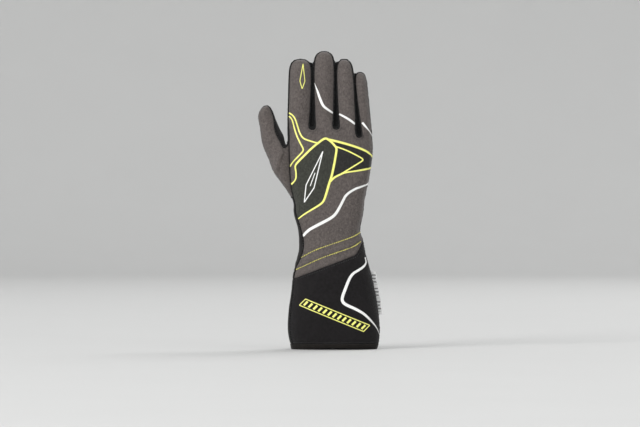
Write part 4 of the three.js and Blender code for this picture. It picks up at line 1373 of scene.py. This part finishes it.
def thread_finish(name, colour):
    finish = Finish(name, 0.6, sheen=0.2, specular=0.35)
    at = finish.object_place()
    sockets = {"Vector": at, "Scale": 900.0, "Distortion": 1.0}
    twist = finish.add("ShaderNodeTexWave", sockets, bands_direction="DIAGONAL").outputs["Fac"]
    base = finish.mix(finish.spread(twist, 0.2, 0.8), shade(colour, 0.72), shade(colour, 1.1))
    return finish.dressed(base, finish.bump(twist, 0.5, 0.0001))


def edge_finish(name, colour):
    """Cut cloth edge: dark, with paler fibres and dashes scattered over it."""
    finish = Finish(name, 0.92, sheen=0.12, specular=0.12)
    at = finish.object_place()
    fibre = finish.noise(at, 1700, 3, 0.7)
    dashes = finish.noise(at, 420, 2, 0.6)
    base = finish.mix(finish.spread(fibre, 0.35, 0.7), shade(colour, 0.6), shade(colour, 1.7))
    base = finish.mix(finish.spread(dashes, 0.5, 0.7, 0.0, 0.4), base, shade(colour, 2.2))
    return finish.dressed(base, finish.bump(fibre, 0.8, 0.0003))


def label_finish(name, colour, mark):
    """Woven label: fine ribs, with dark bars of two lengths between two plain borders."""
    finish = Finish(name, 0.55, sheen=0.2, specular=0.4)
    u, v = finish.cloth_place()
    ribs = finish.wave(v, 0.35)
    bars = finish.math("GREATER_THAN", finish.math("FRACT", finish.math("DIVIDE", v, 3.6)), 0.55)
    gap = finish.math("GREATER_THAN", finish.math("FRACT", finish.math("DIVIDE", v, 14.5)), 0.22)
    wide = finish.math("GREATER_THAN", finish.math("FRACT", finish.math("DIVIDE", v, 8.7)), 0.5)
    reach = finish.math("MULTIPLY_ADD", wide, 0.5, 1.25)
    band = finish.math("LESS_THAN", finish.math("ABSOLUTE", finish.math("SUBTRACT", u, 2.5)), reach)
    share = finish.times(finish.times(bars, gap), band)
    base = finish.mix(finish.times(share, 0.75), shade(colour, 1.0), shade(mark, 1.0))
    # Darker between the label's ribs, where its relief is low: painted shade
    base = finish.mix(finish.spread(ribs, -1, 1, 0.16, 0.0), base, shade(colour, 0.55))
    return finish.dressed(base, finish.bump(ribs, 0.5, 0.0001))


def plain_finish(name, colour, roughness):
    finish = Finish(name, roughness, specular=0.3)
    grain = finish.noise(finish.object_place(), 6, 2)
    base = finish.mix(finish.spread(grain, 0.3, 0.7), shade(colour, 0.99), shade(colour, 1.0))
    finish.shader("Base Color", base)
    return finish.material


MAKERS = {
    "knit_grey": (knit_finish, "knit"),
    "suede_black": (suede_finish, "suede"),
    "mesh_black": (mesh_finish, "mesh"),
    "twill_black": (twill_finish, "twill"),
    "hem_cloth": (twill_finish, "hem"),
    "print_dark": (knit_finish, "print_dark"),
    "print_band": (knit_finish, "print_band"),
    "print_yellow": (print_finish, "yellow"),
    "print_white": (print_finish, "white"),
    "thread_yellow": (thread_finish, "thread"),
    "thread_black": (thread_finish, "black_thread"),
    "seam_edge": (edge_finish, "edge"),
}


def finish_of(name):
    if name not in _made:
        maker, colour = MAKERS[name]
        _made[name] = maker(name, tuple(getattr(bpy.context.scene.glove_colours, colour)))
    return _made[name]


def thread_tree():
    """Geometry Nodes: threads at even steps along lines, each arching out of the cloth and back into it."""
    if "thread_tree" in _made:
        return _made["thread_tree"]
    tree = bpy.data.node_groups.new("threads", "GeometryNodeTree")
    face = tree.interface
    face.new_socket("Geometry", in_out="INPUT", socket_type="NodeSocketGeometry")
    for name, default in (("Spacing", 0.002), ("Length", 0.0015), ("Height", 0.001), ("Thickness", 0.0004)):
        face.new_socket(name, in_out="INPUT", socket_type="NodeSocketFloat").default_value = default
    face.new_socket("Thread", in_out="INPUT", socket_type="NodeSocketMaterial")
    face.new_socket("Geometry", in_out="OUTPUT", socket_type="NodeSocketGeometry")
    given = add_node(tree, "NodeGroupInput").outputs
    curve = add_node(tree, "GeometryNodeMeshToCurve", {0: given["Geometry"]})
    sockets = {"Curve": curve.outputs[0], "Length": given["Spacing"]}
    spots = add_node(tree, "GeometryNodeCurveToPoints", sockets, mode="LENGTH")
    axes, kind = {}, "GeometryNodeInputNamedAttribute"
    for name, socket in (("up", "Primary Axis"), ("ahead", "Secondary Axis")):
        direction = add_node(tree, kind, {"Name": name}, data_type="FLOAT_VECTOR")
        axes[socket] = direction.outputs["Attribute"]
    turn = add_node(tree, "FunctionNodeAxesToRotation", axes, primary_axis="Z", secondary_axis="Y")
    start, middle, end = (-0.5, -0.16, -0.35), (0, 0, 2.2), (0.5, 0.16, -0.35)
    sockets = {"Resolution": 5, "Start": start, "Middle": middle, "End": end}
    arch = add_node(tree, "GeometryNodeCurveQuadraticBezier", sockets)
    sockets = {0: given["Length"], 1: given["Length"], 2: given["Height"]}
    size = add_node(tree, "ShaderNodeCombineXYZ", sockets)
    shaped = add_node(tree, "GeometryNodeTransform", {"Geometry": arch.outputs[0], "Scale": size.outputs[0]})
    half = add_node(tree, "ShaderNodeMath", {0: given["Thickness"], 1: 0.5}, operation="MULTIPLY")
    ring = add_node(tree, "GeometryNodeCurvePrimitiveCircle", {"Resolution": 4, "Radius": half.outputs[0]})
    sockets = {"Curve": shaped.outputs[0], "Profile Curve": ring.outputs[0], "Fill Caps": True}
    thread = add_node(tree, "GeometryNodeCurveToMesh", sockets)
    uneven = add_node(tree, "FunctionNodeRandomValue", data_type="FLOAT")
    for name, value in (("Seed", 4), ("Min", 0.78), ("Max", 1.2)):
        next(s for s in uneven.inputs if s.enabled and s.name == name).default_value = value
    placed = add_node(tree, "GeometryNodeInstanceOnPoints", {
        "Points": spots.outputs["Points"],
        "Instance": thread.outputs[0],
        "Rotation": turn.outputs[0],
        "Scale": next(s for s in uneven.outputs if s.enabled),
    })
    real = add_node(tree, "GeometryNodeRealizeInstances", {0: placed.outputs[0]})
    smooth = add_node(tree, "GeometryNodeSetShadeSmooth", {"Geometry": real.outputs[0]})
    sockets = {"Geometry": smooth.outputs[0], "Material": given["Thread"]}
    painted = add_node(tree, "GeometryNodeSetMaterial", sockets)
    add_node(tree, "NodeGroupOutput", {0: painted.outputs[0]})
    _made["thread_tree"] = tree
    return tree


def stitches(name, runs, spacing, length, thickness, thread):
    """Running stitches along runs of points and outward directions, in millimetres."""
    lines = []
    for points, normals in runs:
        along = np.gradient(np.array(points), axis=0)
        lines.append((points, normals, np.cross(normals, along)))
    threads(name, lines, (spacing, length, thickness * 0.75, thickness), thread)


def threads(name, lines, sizes, thread):
    """Threads made along lines of points by the thread tree and turned into a plain mesh.

    Each line is its points, its outward directions and the directions that the threads lie across.
    """
    points, edges = [], []
    for line, _, _ in lines:
        start = len(points)
        points += [tuple(np.asarray(p) * MM) for p in line]
        edges += [(start + i, start + i + 1) for i in range(len(line) - 1)]
    carried = {
        "up": [n for _, ups, _ in lines for n in ups],
        "ahead": [a for _, _, rows in lines for a in rows],
    }
    names = ("Spacing", "Length", "Height", "Thickness")
    values = dict(zip(names, (size * MM for size in sizes)), Thread=thread)
    tree = thread_tree()
    mesh = bpy.data.meshes.new(name + "_lines")
    mesh.from_pydata(points, edges, [])
    for key, rows in carried.items():
        mesh.attributes.new(key, "FLOAT_VECTOR", "POINT").data.foreach_set("vector", np.ravel(rows))
    path = bpy.data.objects.new(name + "_lines", mesh)
    bpy.context.scene.collection.objects.link(path)
    modifier = path.modifiers.new("threads", "NODES")
    modifier.node_group = tree
    for item in tree.interface.items_tree:
        if item.in_out == "INPUT" and item.name in values:
            modifier[item.identifier] = values[item.name]
    bpy.context.view_layer.update()
    shown = path.evaluated_get(bpy.context.evaluated_depsgraph_get())
    made = bpy.data.meshes.new_from_object(shown)
    path.modifiers.remove(modifier)
    bpy.data.objects.remove(path)
    made.name = name
    if len(made.polygons) == 0:
        raise RuntimeError(f"{name} has no threads")
    piece = bpy.data.objects.new(name, made)
    bpy.context.scene.collection.objects.link(piece)
    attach(piece, BODY)
    return piece


def on_front_line(line, panels):
    """The runs of a line in X and Z that meet the panels, as points on the cloth and outward directions."""
    runs, points, normals = [], [], []
    off_the_glove = (1e3, 1e3)
    for x, z in [*even_steps(line, 0.8), off_the_glove]:
        met = skin().front(x, z, panels)
        if met is not None:
            points.append(met[0])
            normals.append(met[1])
            continue
        if len(points) > 4:
            for _ in range(2):
                more = carried_on(points, panels)
                points = (points + [at for at, _, _ in more])[::-1]
                normals = (normals + [normal for _, normal, _ in more])[::-1]
            runs.append((points, normals))
        points, normals = [], []
    return runs


def beside_seam(pairs, away, panels):
    """Runs at a distance from the seams between the given panels, on the side where the chosen panels lie."""
    outside = skin()
    runs = []
    for line in outside.seams_of(pairs):
        path = smoothed(outside.points[line], 4, False)
        side = unit(np.cross(np.gradient(path, axis=0), outside.normals[line]))
        for sign in (-1, 1):
            met = [outside.nearest(p) for p in path + side * away * sign]
            if sum(m[2] in panels for m in met) > len(met) / 2:
                runs.append(([m[0] for m in met], [m[1] for m in met]))
    return runs


# Settings


def millimetres(name, description, default, low, high):
    return FloatProperty(
        name=name, description=description + ", in millimetres", default=default, min=low, max=high,
    )


def power(name, description, default):
    return FloatProperty(name=name, description=description, default=default, min=0, unit="POWER")


class GloveSizes(bpy.types.PropertyGroup):
    """Sizes of the seams, prints and stitches."""

    welt_height: millimetres("Seam edge height", "How far the sewn edges stand out", 1.15, 0.1, 3)
    welt_width: millimetres("Seam edge width", "Thickness of the sewn edges", 0.95, 0.2, 3)
    yellow_line: millimetres("Yellow line", "Width of the thin yellow lines", 1.65, 0.3, 4)
    yellow_outline: millimetres("Yellow outline", "Width of the panel's outline", 2.45, 0.3, 4)
    white_line: millimetres("White line", "Width of the white lines", 2.85, 0.5, 6)
    print_rise: millimetres("Print height", "How far the prints stand out", 0.2, 0.05, 1)
    stitch_spacing: millimetres("Stitch spacing", "From one stitch to the next", 2.5, 1, 8)


def colour_property(name, description, rgb):
    """A colour given as it is seen, from 0 to 255, and kept as light."""
    shares = [value / 255 for value in rgb]
    linear = [c / 12.92 if c <= 0.04045 else ((c + 0.055) / 1.055) ** 2.4 for c in shares]
    return FloatVectorProperty(
        name=name, description=description, default=linear, subtype="COLOR", size=3, min=0, max=1,
    )


class GloveColours(bpy.types.PropertyGroup):
    """Colours of the cloths, prints and threads."""

    knit: colour_property("Grey knit", "Cloth of the back", (95, 88, 85))
    suede: colour_property("Palm suede", "Cloth of the palm", (30, 28, 28))
    mesh: colour_property("Side strips", "Cloth between the fingers", (11, 11, 11))
    twill: colour_property("Gauntlet", "Cloth of the gauntlet", (27, 25, 26))
    hem: colour_property("Hem", "Cloth of the hem", (25, 22, 20))
    print_dark: colour_property("Dark print", "Printed field on the back", (60, 61, 55))
    print_band: colour_property("Dark band", "Printed band and wedge beside the field", (45, 44, 43))
    yellow: colour_property("Yellow print", "Yellow lines", (251, 250, 134))
    white: colour_property("White print", "White lines", (244, 244, 242))
    thread: colour_property("Yellow thread", "Stitches at the wrist", (246, 238, 124))
    black_thread: colour_property("Black thread", "Stitches at the seams", (18, 17, 17))
    edge: colour_property("Seam edge", "Cut edges at the seams", (13, 12, 12))
    label: colour_property("Label", "Folded label", (252, 252, 251))
    label_mark: colour_property("Label weft", "Blocks woven into the label", (34, 34, 36))
    floor: colour_property("Floor", "Floor of the stage", (198, 198, 197))


class GloveStage(bpy.types.PropertyGroup):
    """Camera and light."""

    distance: FloatProperty(
        name="Camera distance", description="From the middle of the glove to the camera",
        default=4.0, min=1, max=20, unit="LENGTH",
    )
    key: power("Key light", "Power of the main light", 172.0)
    fill: power("Fill light", "Power of the fill light", 32.0)
    back: power("Back light", "Power of the light behind the glove", 95.0)
    world: FloatProperty(
        name="Ambient light", description="Strength of the even light all round", default=0.86, min=0,
    )


# Pieces

HAND_PANELS = ("back_panel",)
CUFF_PANELS = ("gauntlet_back",)
CLOTH_FINISH = {
    "grey_knit": "knit_grey",
    "black_suede": "suede_black",
    "black_mesh": "mesh_black",
    "black_twill": "twill_black",
    "hem_tape": "hem_cloth",
}

# Raised seam edges: name, pairs of panels, shares of the set height and width, and how far they lean
WELTS = [
    ("seam_edge_fingers", [("back_panel", strip) for strip in STRIPS], 0.8, 1, (0, -0.8, 0)),
    ("seam_edge_hand", [("back_panel", "palm_panel")], 1, 1, (0, -0.25, 0)),
    (
        "seam_edge_thumb",
        [("thumb_back", "thumb_palm"), ("back_panel", "thumb_back"), ("back_panel", "thumb_palm")],
        0.7, 0.9, (0, -0.2, 0),
    ),
    (
        "seam_edge_palm",
        [("palm_panel", other) for other in (*STRIPS, "thumb_palm", "thumb_back")],
        0.6, 0.9, (0, 0.2, 0),
    ),
    ("seam_edge_gauntlet", [("gauntlet_back", "gauntlet_palm")], 0.7, 1, (0, -0.2, 0)),
]


class GLOVE_OT_panels(bpy.types.Operator):
    """Build the ten cloth panels"""

    bl_idname = "glove.panels"
    bl_label = "Cloth panels"

    def execute(self, context):
        for name in PANELS:
            panel_piece(name, finish_of(CLOTH_FINISH[CLOTH[name][1]]))
        return {"FINISHED"}


class GLOVE_OT_seam_edges(bpy.types.Operator):
    """Build the raised edges along the seams"""

    bl_idname = "glove.seam_edges"
    bl_label = "Seam edges"

    def execute(self, context):
        sizes = context.scene.glove_sizes
        for name, pairs, tall, wide, lean in WELTS:
            welt(name, pairs, sizes.welt_height * tall, sizes.welt_width * wide, lean, finish_of("seam_edge"))
        return {"FINISHED"}


def needle(mark, panels, rise):
    """The two sides of a slender spearhead, turned clockwise by its lean, as printed lines."""
    centre, size, lean, width = mark
    turn = math.radians(lean)
    across = np.array([math.cos(turn), -math.sin(turn)])
    along = np.array([math.sin(turn), math.cos(turn)])
    middle = place(centre)
    outline = np.array([middle + across * u * size[0] / 2 + along * v * size[1] / 2 for u, v in NEEDLE])
    return outline, [ribbon(outline[side], [width], panels, rise * share) for side, share in NEEDLE_SIDES]


def close(line):
    """A closed line whose last step lies on its first, so that no corner is left open."""
    return np.concatenate([line, line[:1], lerp(line[:1], line[1:2], 0.1)])


class GLOVE_OT_prints(bpy.types.Operator):
    """Build the printed fields and lines"""

    bl_idname = "glove.prints"
    bl_label = "Prints"

    def execute(self, context):
        sizes = context.scene.glove_sizes
        rise = sizes.print_rise
        self.dark_fields()
        thin, thick, wide = sizes.yellow_line, sizes.yellow_outline, sizes.white_line
        yellow = self.lines(rise, [
            (THUMB_STRIPE_HIGH, [thin], HAND_PANELS, 1),
            (THUMB_STRIPE_LOW, [thin], HAND_PANELS, 1),
            (PATCH_EDGE, [thick * share for share in PATCH_EDGE_SHARES], HAND_PANELS, 1.15),
            (KNUCKLE_STRIPE_HIGH, [thick], HAND_PANELS, 1),
            (KNUCKLE_STRIPE_LOW, [thick, thin, thick], HAND_PANELS, 1),
            (KNUCKLE_WEDGE, [thin], HAND_PANELS, 0.9),
        ])
        yellow += needle(NEEDLE_YELLOW, HAND_PANELS, rise)[1]
        yellow += self.kerb(rise)
        white = self.lines(rise, [
            (FINGER_STRIPES[0], [0.4, wide * 0.9, wide, wide * 0.85, wide * 0.75], HAND_PANELS, 1),
            (FINGER_STRIPES[1], [wide * 0.7, wide * 0.85, wide], HAND_PANELS, 1),
            (FINGER_STRIPES[2], [wide * 0.85, wide * 0.6, wide * 0.35], HAND_PANELS, 1),
            (WRIST_STRIPE, [wide * 1.05, wide * 1.1, wide * 0.95, wide * 0.7], HAND_PANELS, 1),
            (CUFF_STRIPE, [wide * share for share in (0.8, 0.9, 1.1, 1.15, 1.05, 0.85, 0.2)], CUFF_PANELS, 1),
        ])
        blade, sides = needle(NEEDLE_WHITE, HAND_PANELS, rise)
        spine = np.array([lerp(blade[0], blade[2], 0.42), lerp(blade[0], blade[2], 0.68)])
        white += [*sides, ribbon(spine, [1.0], HAND_PANELS, rise * 0.9)]
        for colour, parts in (("yellow", yellow), ("white", white)):
            points, faces = join_parts(parts)
            slot = "print_" + colour
            add_piece(slot + "_lines", points, faces, finish_of(slot), sharp=28)
        return {"FINISHED"}

    def lines(self, rise, table):
        """Printed lines from rows of a line, the widths along it, its panels and its share of the rise."""
        return [ribbon(rounded(line), widths, panels, rise * share) for line, widths, panels, share in table]

    def dark_fields(self):
        """The dark field between the yellow lines, and the dark band beside it."""
        field = np.concatenate([rounded(PATCH_EDGE), [place(p) for p in FIELD_CLOSE]])
        points, faces, cloth = patch(field, HAND_PANELS, rise=0.12, inward=1, spacing=1.1)
        add_piece("print_dark_field", points, faces, finish_of("print_dark"), cloth, sharp=60)
        high, low = rounded(KNUCKLE_STRIPE_HIGH), rounded(KNUCKLE_STRIPE_LOW)[::-1]
        band = np.concatenate([high, low, [place(p) for p in BAND_CLOSE]])
        front = patch(band, HAND_PANELS, rise=0.11, inward=-1, spacing=0.75)
        side = self.band_end(steps=22, rows=14)
        points, faces = join_parts([front[:2], side[:2]])
        cloth = front[2] + side[2]
        add_piece("print_dark_band", points, faces, finish_of("print_band"), cloth, sharp=60)

    def band_end(self, steps, rows):
        """The dark band's end round the side of the hand, between its two yellow lines."""
        edges = [on_front_line(rounded(line), HAND_PANELS)[-1][0][-steps:]
                 for line in (KNUCKLE_STRIPE_HIGH, KNUCKLE_STRIPE_LOW)]
        met, faces = [], []
        for high, low in zip(*edges):
            met += [skin().nearest(lerp(high, low, k / rows)) for k in range(rows + 1)]
        for i in range(steps - 1):
            for k in range(i * (rows + 1), i * (rows + 1) + rows):
                faces.append([k, k + 1, k + rows + 2, k + rows + 1])
        return thin_sheet(met, faces, 0.09)

    def kerb(self, rise):
        """A band of slanting bars inside a thin outline, falling towards the little finger's side."""
        start, end = place(KERB_START), place(KERB_END)
        length = np.linalg.norm(end - start)
        along = (end - start) / length
        up = np.array([-along[1], along[0]]) + along * KERB_SLANT
        parts = []
        for i in range(KERB_BARS):
            middle = start + along * length * (i + 0.5) / KERB_BARS
            bar = np.array([middle - up * KERB_HALF * 0.62, middle + up * KERB_HALF * 0.62])
            parts.append(ribbon(bar, [length / KERB_BARS * 0.42], CUFF_PANELS, rise))
        corners = [
            start - along - up * KERB_HALF, end + along - up * KERB_HALF,
            end + along + up * KERB_HALF, start - along + up * KERB_HALF,
        ]
        parts.append(ribbon(close(np.array(corners)), [1.05], CUFF_PANELS, rise))
        return parts


class GLOVE_OT_stitches(bpy.types.Operator):
    """Build the stitches"""

    bl_idname = "glove.stitches"
    bl_label = "Stitches"

    def execute(self, context):
        spacing = context.scene.glove_sizes.stitch_spacing
        wrist = [run for pixels in STITCH_LINES for run in on_front_line(rounded(pixels), HAND_PANELS)]
        stitches("stitches_wrist", wrist, spacing, 2.0, 0.75, finish_of("thread_yellow"))
        dark = finish_of("thread_black")
        gauntlet = ("gauntlet_back", "gauntlet_palm")
        wrist_seam = [("back_panel", "gauntlet_back"), ("palm_panel", "gauntlet_palm")]
        hem_seam = [("gauntlet_back", "cuff_hem"), ("gauntlet_palm", "cuff_hem")]
        lines = beside_seam(wrist_seam, 2.2, gauntlet) + beside_seam(hem_seam, 1.6, gauntlet + ("cuff_hem",))
        lines += beside_seam([gauntlet], 2.2, gauntlet)
        stitches("stitches_seams", lines, spacing * 1.1, 2.1, 0.5, dark)
        self.overcast(dark)
        webs = []
        radius, turn = 5.7, np.radians(np.linspace(198, 342, 26))
        for strip in STRIPS:
            seam = skin().points[skin().seams_of([("back_panel", strip)])[0]]
            middle = seam[seam[:, 2].argmin()][[0, 2]] + np.array([0, 3.3])
            ring = np.stack([middle[0] + radius * np.cos(turn), middle[1] + radius * np.sin(turn)], axis=1)
            webs += on_front_line(ring, HAND_PANELS)
        stitches("stitches_webs", webs, 1.7, 1.4, 0.5, dark)
        return {"FINISHED"}

    def overcast(self, thread):
        """Threads over every raised seam edge."""
        lines = []
        for path, normals, height, closed in _made["welts"]:
            if closed:
                path, normals = np.concatenate([path, path[:1]]), np.concatenate([normals, normals[:1]])
            lines.append((path + normals * height * 0.25, normals, np.gradient(path, axis=0)))
        spacing, length, height, thickness = 1.75, 1.75, 0.95, 0.42
        threads("stitches_overcast", lines, (spacing, length, height, thickness), thread)


class GLOVE_OT_label(bpy.types.Operator):
    """Build the folded label in the side seam of the gauntlet"""

    bl_idname = "glove.label"
    bl_label = "Side label"

    def execute(self, context):
        colours = context.scene.glove_colours
        finish = label_finish("label_woven", tuple(colours.label), tuple(colours.label_mark))
        points, places = [], []
        for k in range(LABEL_STEPS + 1):
            share = k / LABEL_STEPS
            seam = self.seam_at(lerp(LABEL_FOOT, LABEL_TOP, share))
            reach = LABEL_REACH + LABEL_FLARE * k / LABEL_STEPS + LABEL_RIPPLE * math.sin(k * 0.55)
            for side in (-1, 1):
                for j in range(LABEL_SECTION):
                    s = j / (LABEL_SECTION - 1) if side < 0 else 1 - j / (LABEL_SECTION - 1)
                    puff = LABEL_PUFF * math.sin(math.pi * min(1.0, s * 1.02)) ** 0.7 if s < 1 else 0.0
                    wave = LABEL_WAVE * math.sin(k * 0.33) * s**2
                    x = seam[0] - LABEL_SEWN + s * (reach + LABEL_SEWN)
                    points.append(np.array([x, seam[1] + side * (LABEL_HALF + puff) + wave, seam[2]]))
                    places.append((s * LABEL_REACH, share * (LABEL_TOP - LABEL_FOOT)))
        faces = tube_faces(LABEL_STEPS + 1, 2 * LABEL_SECTION)
        cloth = [places[i] for f in faces for i in f]
        piece = add_piece("side_label_cloth", points, faces, finish, cloth, sharp=70)
        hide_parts("side_label")
        return {"FINISHED"}

    def seam_at(self, z):
        """The side seam on the little finger's side at a height."""
        for line in skin().seams_of([("gauntlet_back", "gauntlet_palm")]):
            path = skin().points[line]
            if path[:, 0].mean() > 0:
                order = np.argsort(path[:, 2])
                return np.array([np.interp(z, path[order, 2], path[order, k]) for k in range(3)])
        raise RuntimeError("the gauntlet has no side seam")


class GLOVE_OT_stage(bpy.types.Operator):
    """Set up the camera, the floor and the lights"""

    bl_idname = "glove.stage"
    bl_label = "Stage"

    def execute(self, context):
        settings = context.scene.glove_stage
        self.camera(context, settings.distance)
        self.floor(context)
        for name, at, size in LIGHTS:
            self.light(name + "_light", at, getattr(settings, name), size)
        world = bpy.data.worlds.new("studio")
        world.use_nodes = True
        background = world.node_tree.nodes["Background"]
        background.inputs["Color"].default_value = (0.94, 0.95, 0.96, 1)
        background.inputs["Strength"].default_value = settings.world
        context.scene.world = world
        context.scene.view_settings.view_transform = "Standard"
        return {"FINISHED"}

    def camera(self, context, distance):
        data = bpy.data.cameras.new("camera")
        camera = bpy.data.objects.new("camera", data)
        context.scene.collection.objects.link(camera)
        x, z = place((FRAME_WIDTH / 2, FRAME_HEIGHT / 2)) * MM
        camera.location = (x, -distance, z)
        camera.rotation_euler = (math.radians(90), 0, 0)
        data.sensor_width = 36
        data.lens = 36 * distance / (FRAME_WIDTH * PIXEL * MM)
        data.clip_end = 100
        context.scene.camera = camera

    def floor(self, context):
        """A round pale floor that curves up into a wall."""
        flat, curve, around = FLOOR_FLAT, FLOOR_CURVE, FLOOR_AROUND
        profile = [(0.4, 0.0), (flat, 0.0)]
        for step in range(1, 13):
            turn = math.radians(90 * step / 12)
            profile.append((flat + curve * math.sin(turn), curve * (1 - math.cos(turn))))
        profile.append((flat + curve, FLOOR_WALL))
        points = [(0.0, 0.0, 0.0)]
        for reach, height in profile:
            turns = [2 * math.pi * k / around for k in range(around)]
            points += [(reach * math.cos(t), reach * math.sin(t), height) for t in turns]
        faces = [(0, 1 + k, 1 + (k + 1) % around) for k in range(around)]
        for row in range(len(profile) - 1):
            low, high = 1 + row * around, 1 + (row + 1) * around
            for k in range(around):
                after = (k + 1) % around
                faces.append((low + k, high + k, high + after, low + after))
        mesh = bpy.data.meshes.new("floor")
        mesh.from_pydata(points, [], faces)
        mesh.polygons.foreach_set("use_smooth", np.ones(len(mesh.polygons), bool))
        mesh.materials.append(plain_finish("floor_pale", tuple(context.scene.glove_colours.floor), 0.7))
        floor = bpy.data.objects.new("floor", mesh)
        context.scene.collection.objects.link(floor)

    def light(self, name, at, power, size):
        data = bpy.data.lights.new(name, "AREA")
        data.energy = power
        data.size = size
        light = bpy.data.objects.new(name, data)
        light.location = at
        light.rotation_euler = (Vector(STAGE_AIM) - Vector(at)).to_track_quat("-Z", "Y").to_euler()
        bpy.context.scene.collection.objects.link(light)


STEPS = (
    GLOVE_OT_stage, GLOVE_OT_panels, GLOVE_OT_seam_edges, GLOVE_OT_prints, GLOVE_OT_stitches, GLOVE_OT_label,
)
GROUPS = (("glove_sizes", GloveSizes), ("glove_colours", GloveColours), ("glove_stage", GloveStage))


class GLOVE_PT_sidebar(bpy.types.Panel):
    """Settings and steps of the karting glove"""

    bl_idname = "GLOVE_PT_sidebar"
    bl_label = "Karting glove"
    bl_space_type = "VIEW_3D"
    bl_region_type = "UI"
    bl_category = "Glove"

    def draw(self, context):
        for name, group in GROUPS:
            column = self.layout.column(align=True)
            for setting in group.__annotations__:
                column.prop(getattr(context.scene, name), setting)
        for step in STEPS:
            self.layout.operator(step.bl_idname)


def register():
    for _, group in GROUPS:
        bpy.utils.register_class(group)
    for step in STEPS:
        bpy.utils.register_class(step)
    bpy.utils.register_class(GLOVE_PT_sidebar)
    for name, group in GROUPS:
        setattr(bpy.types.Scene, name, PointerProperty(type=group))


def unregister():
    for name, _ in GROUPS:
        delattr(bpy.types.Scene, name)
    bpy.utils.unregister_class(GLOVE_PT_sidebar)
    for step in reversed(STEPS):
        bpy.utils.unregister_class(step)
    for _, group in reversed(GROUPS):
        bpy.utils.unregister_class(group)


def main():
    register()
    for step in STEPS:
        group, name = step.bl_idname.split(".")
        getattr(getattr(bpy.ops, group), name)()


if __name__ == "__main__":
    main()
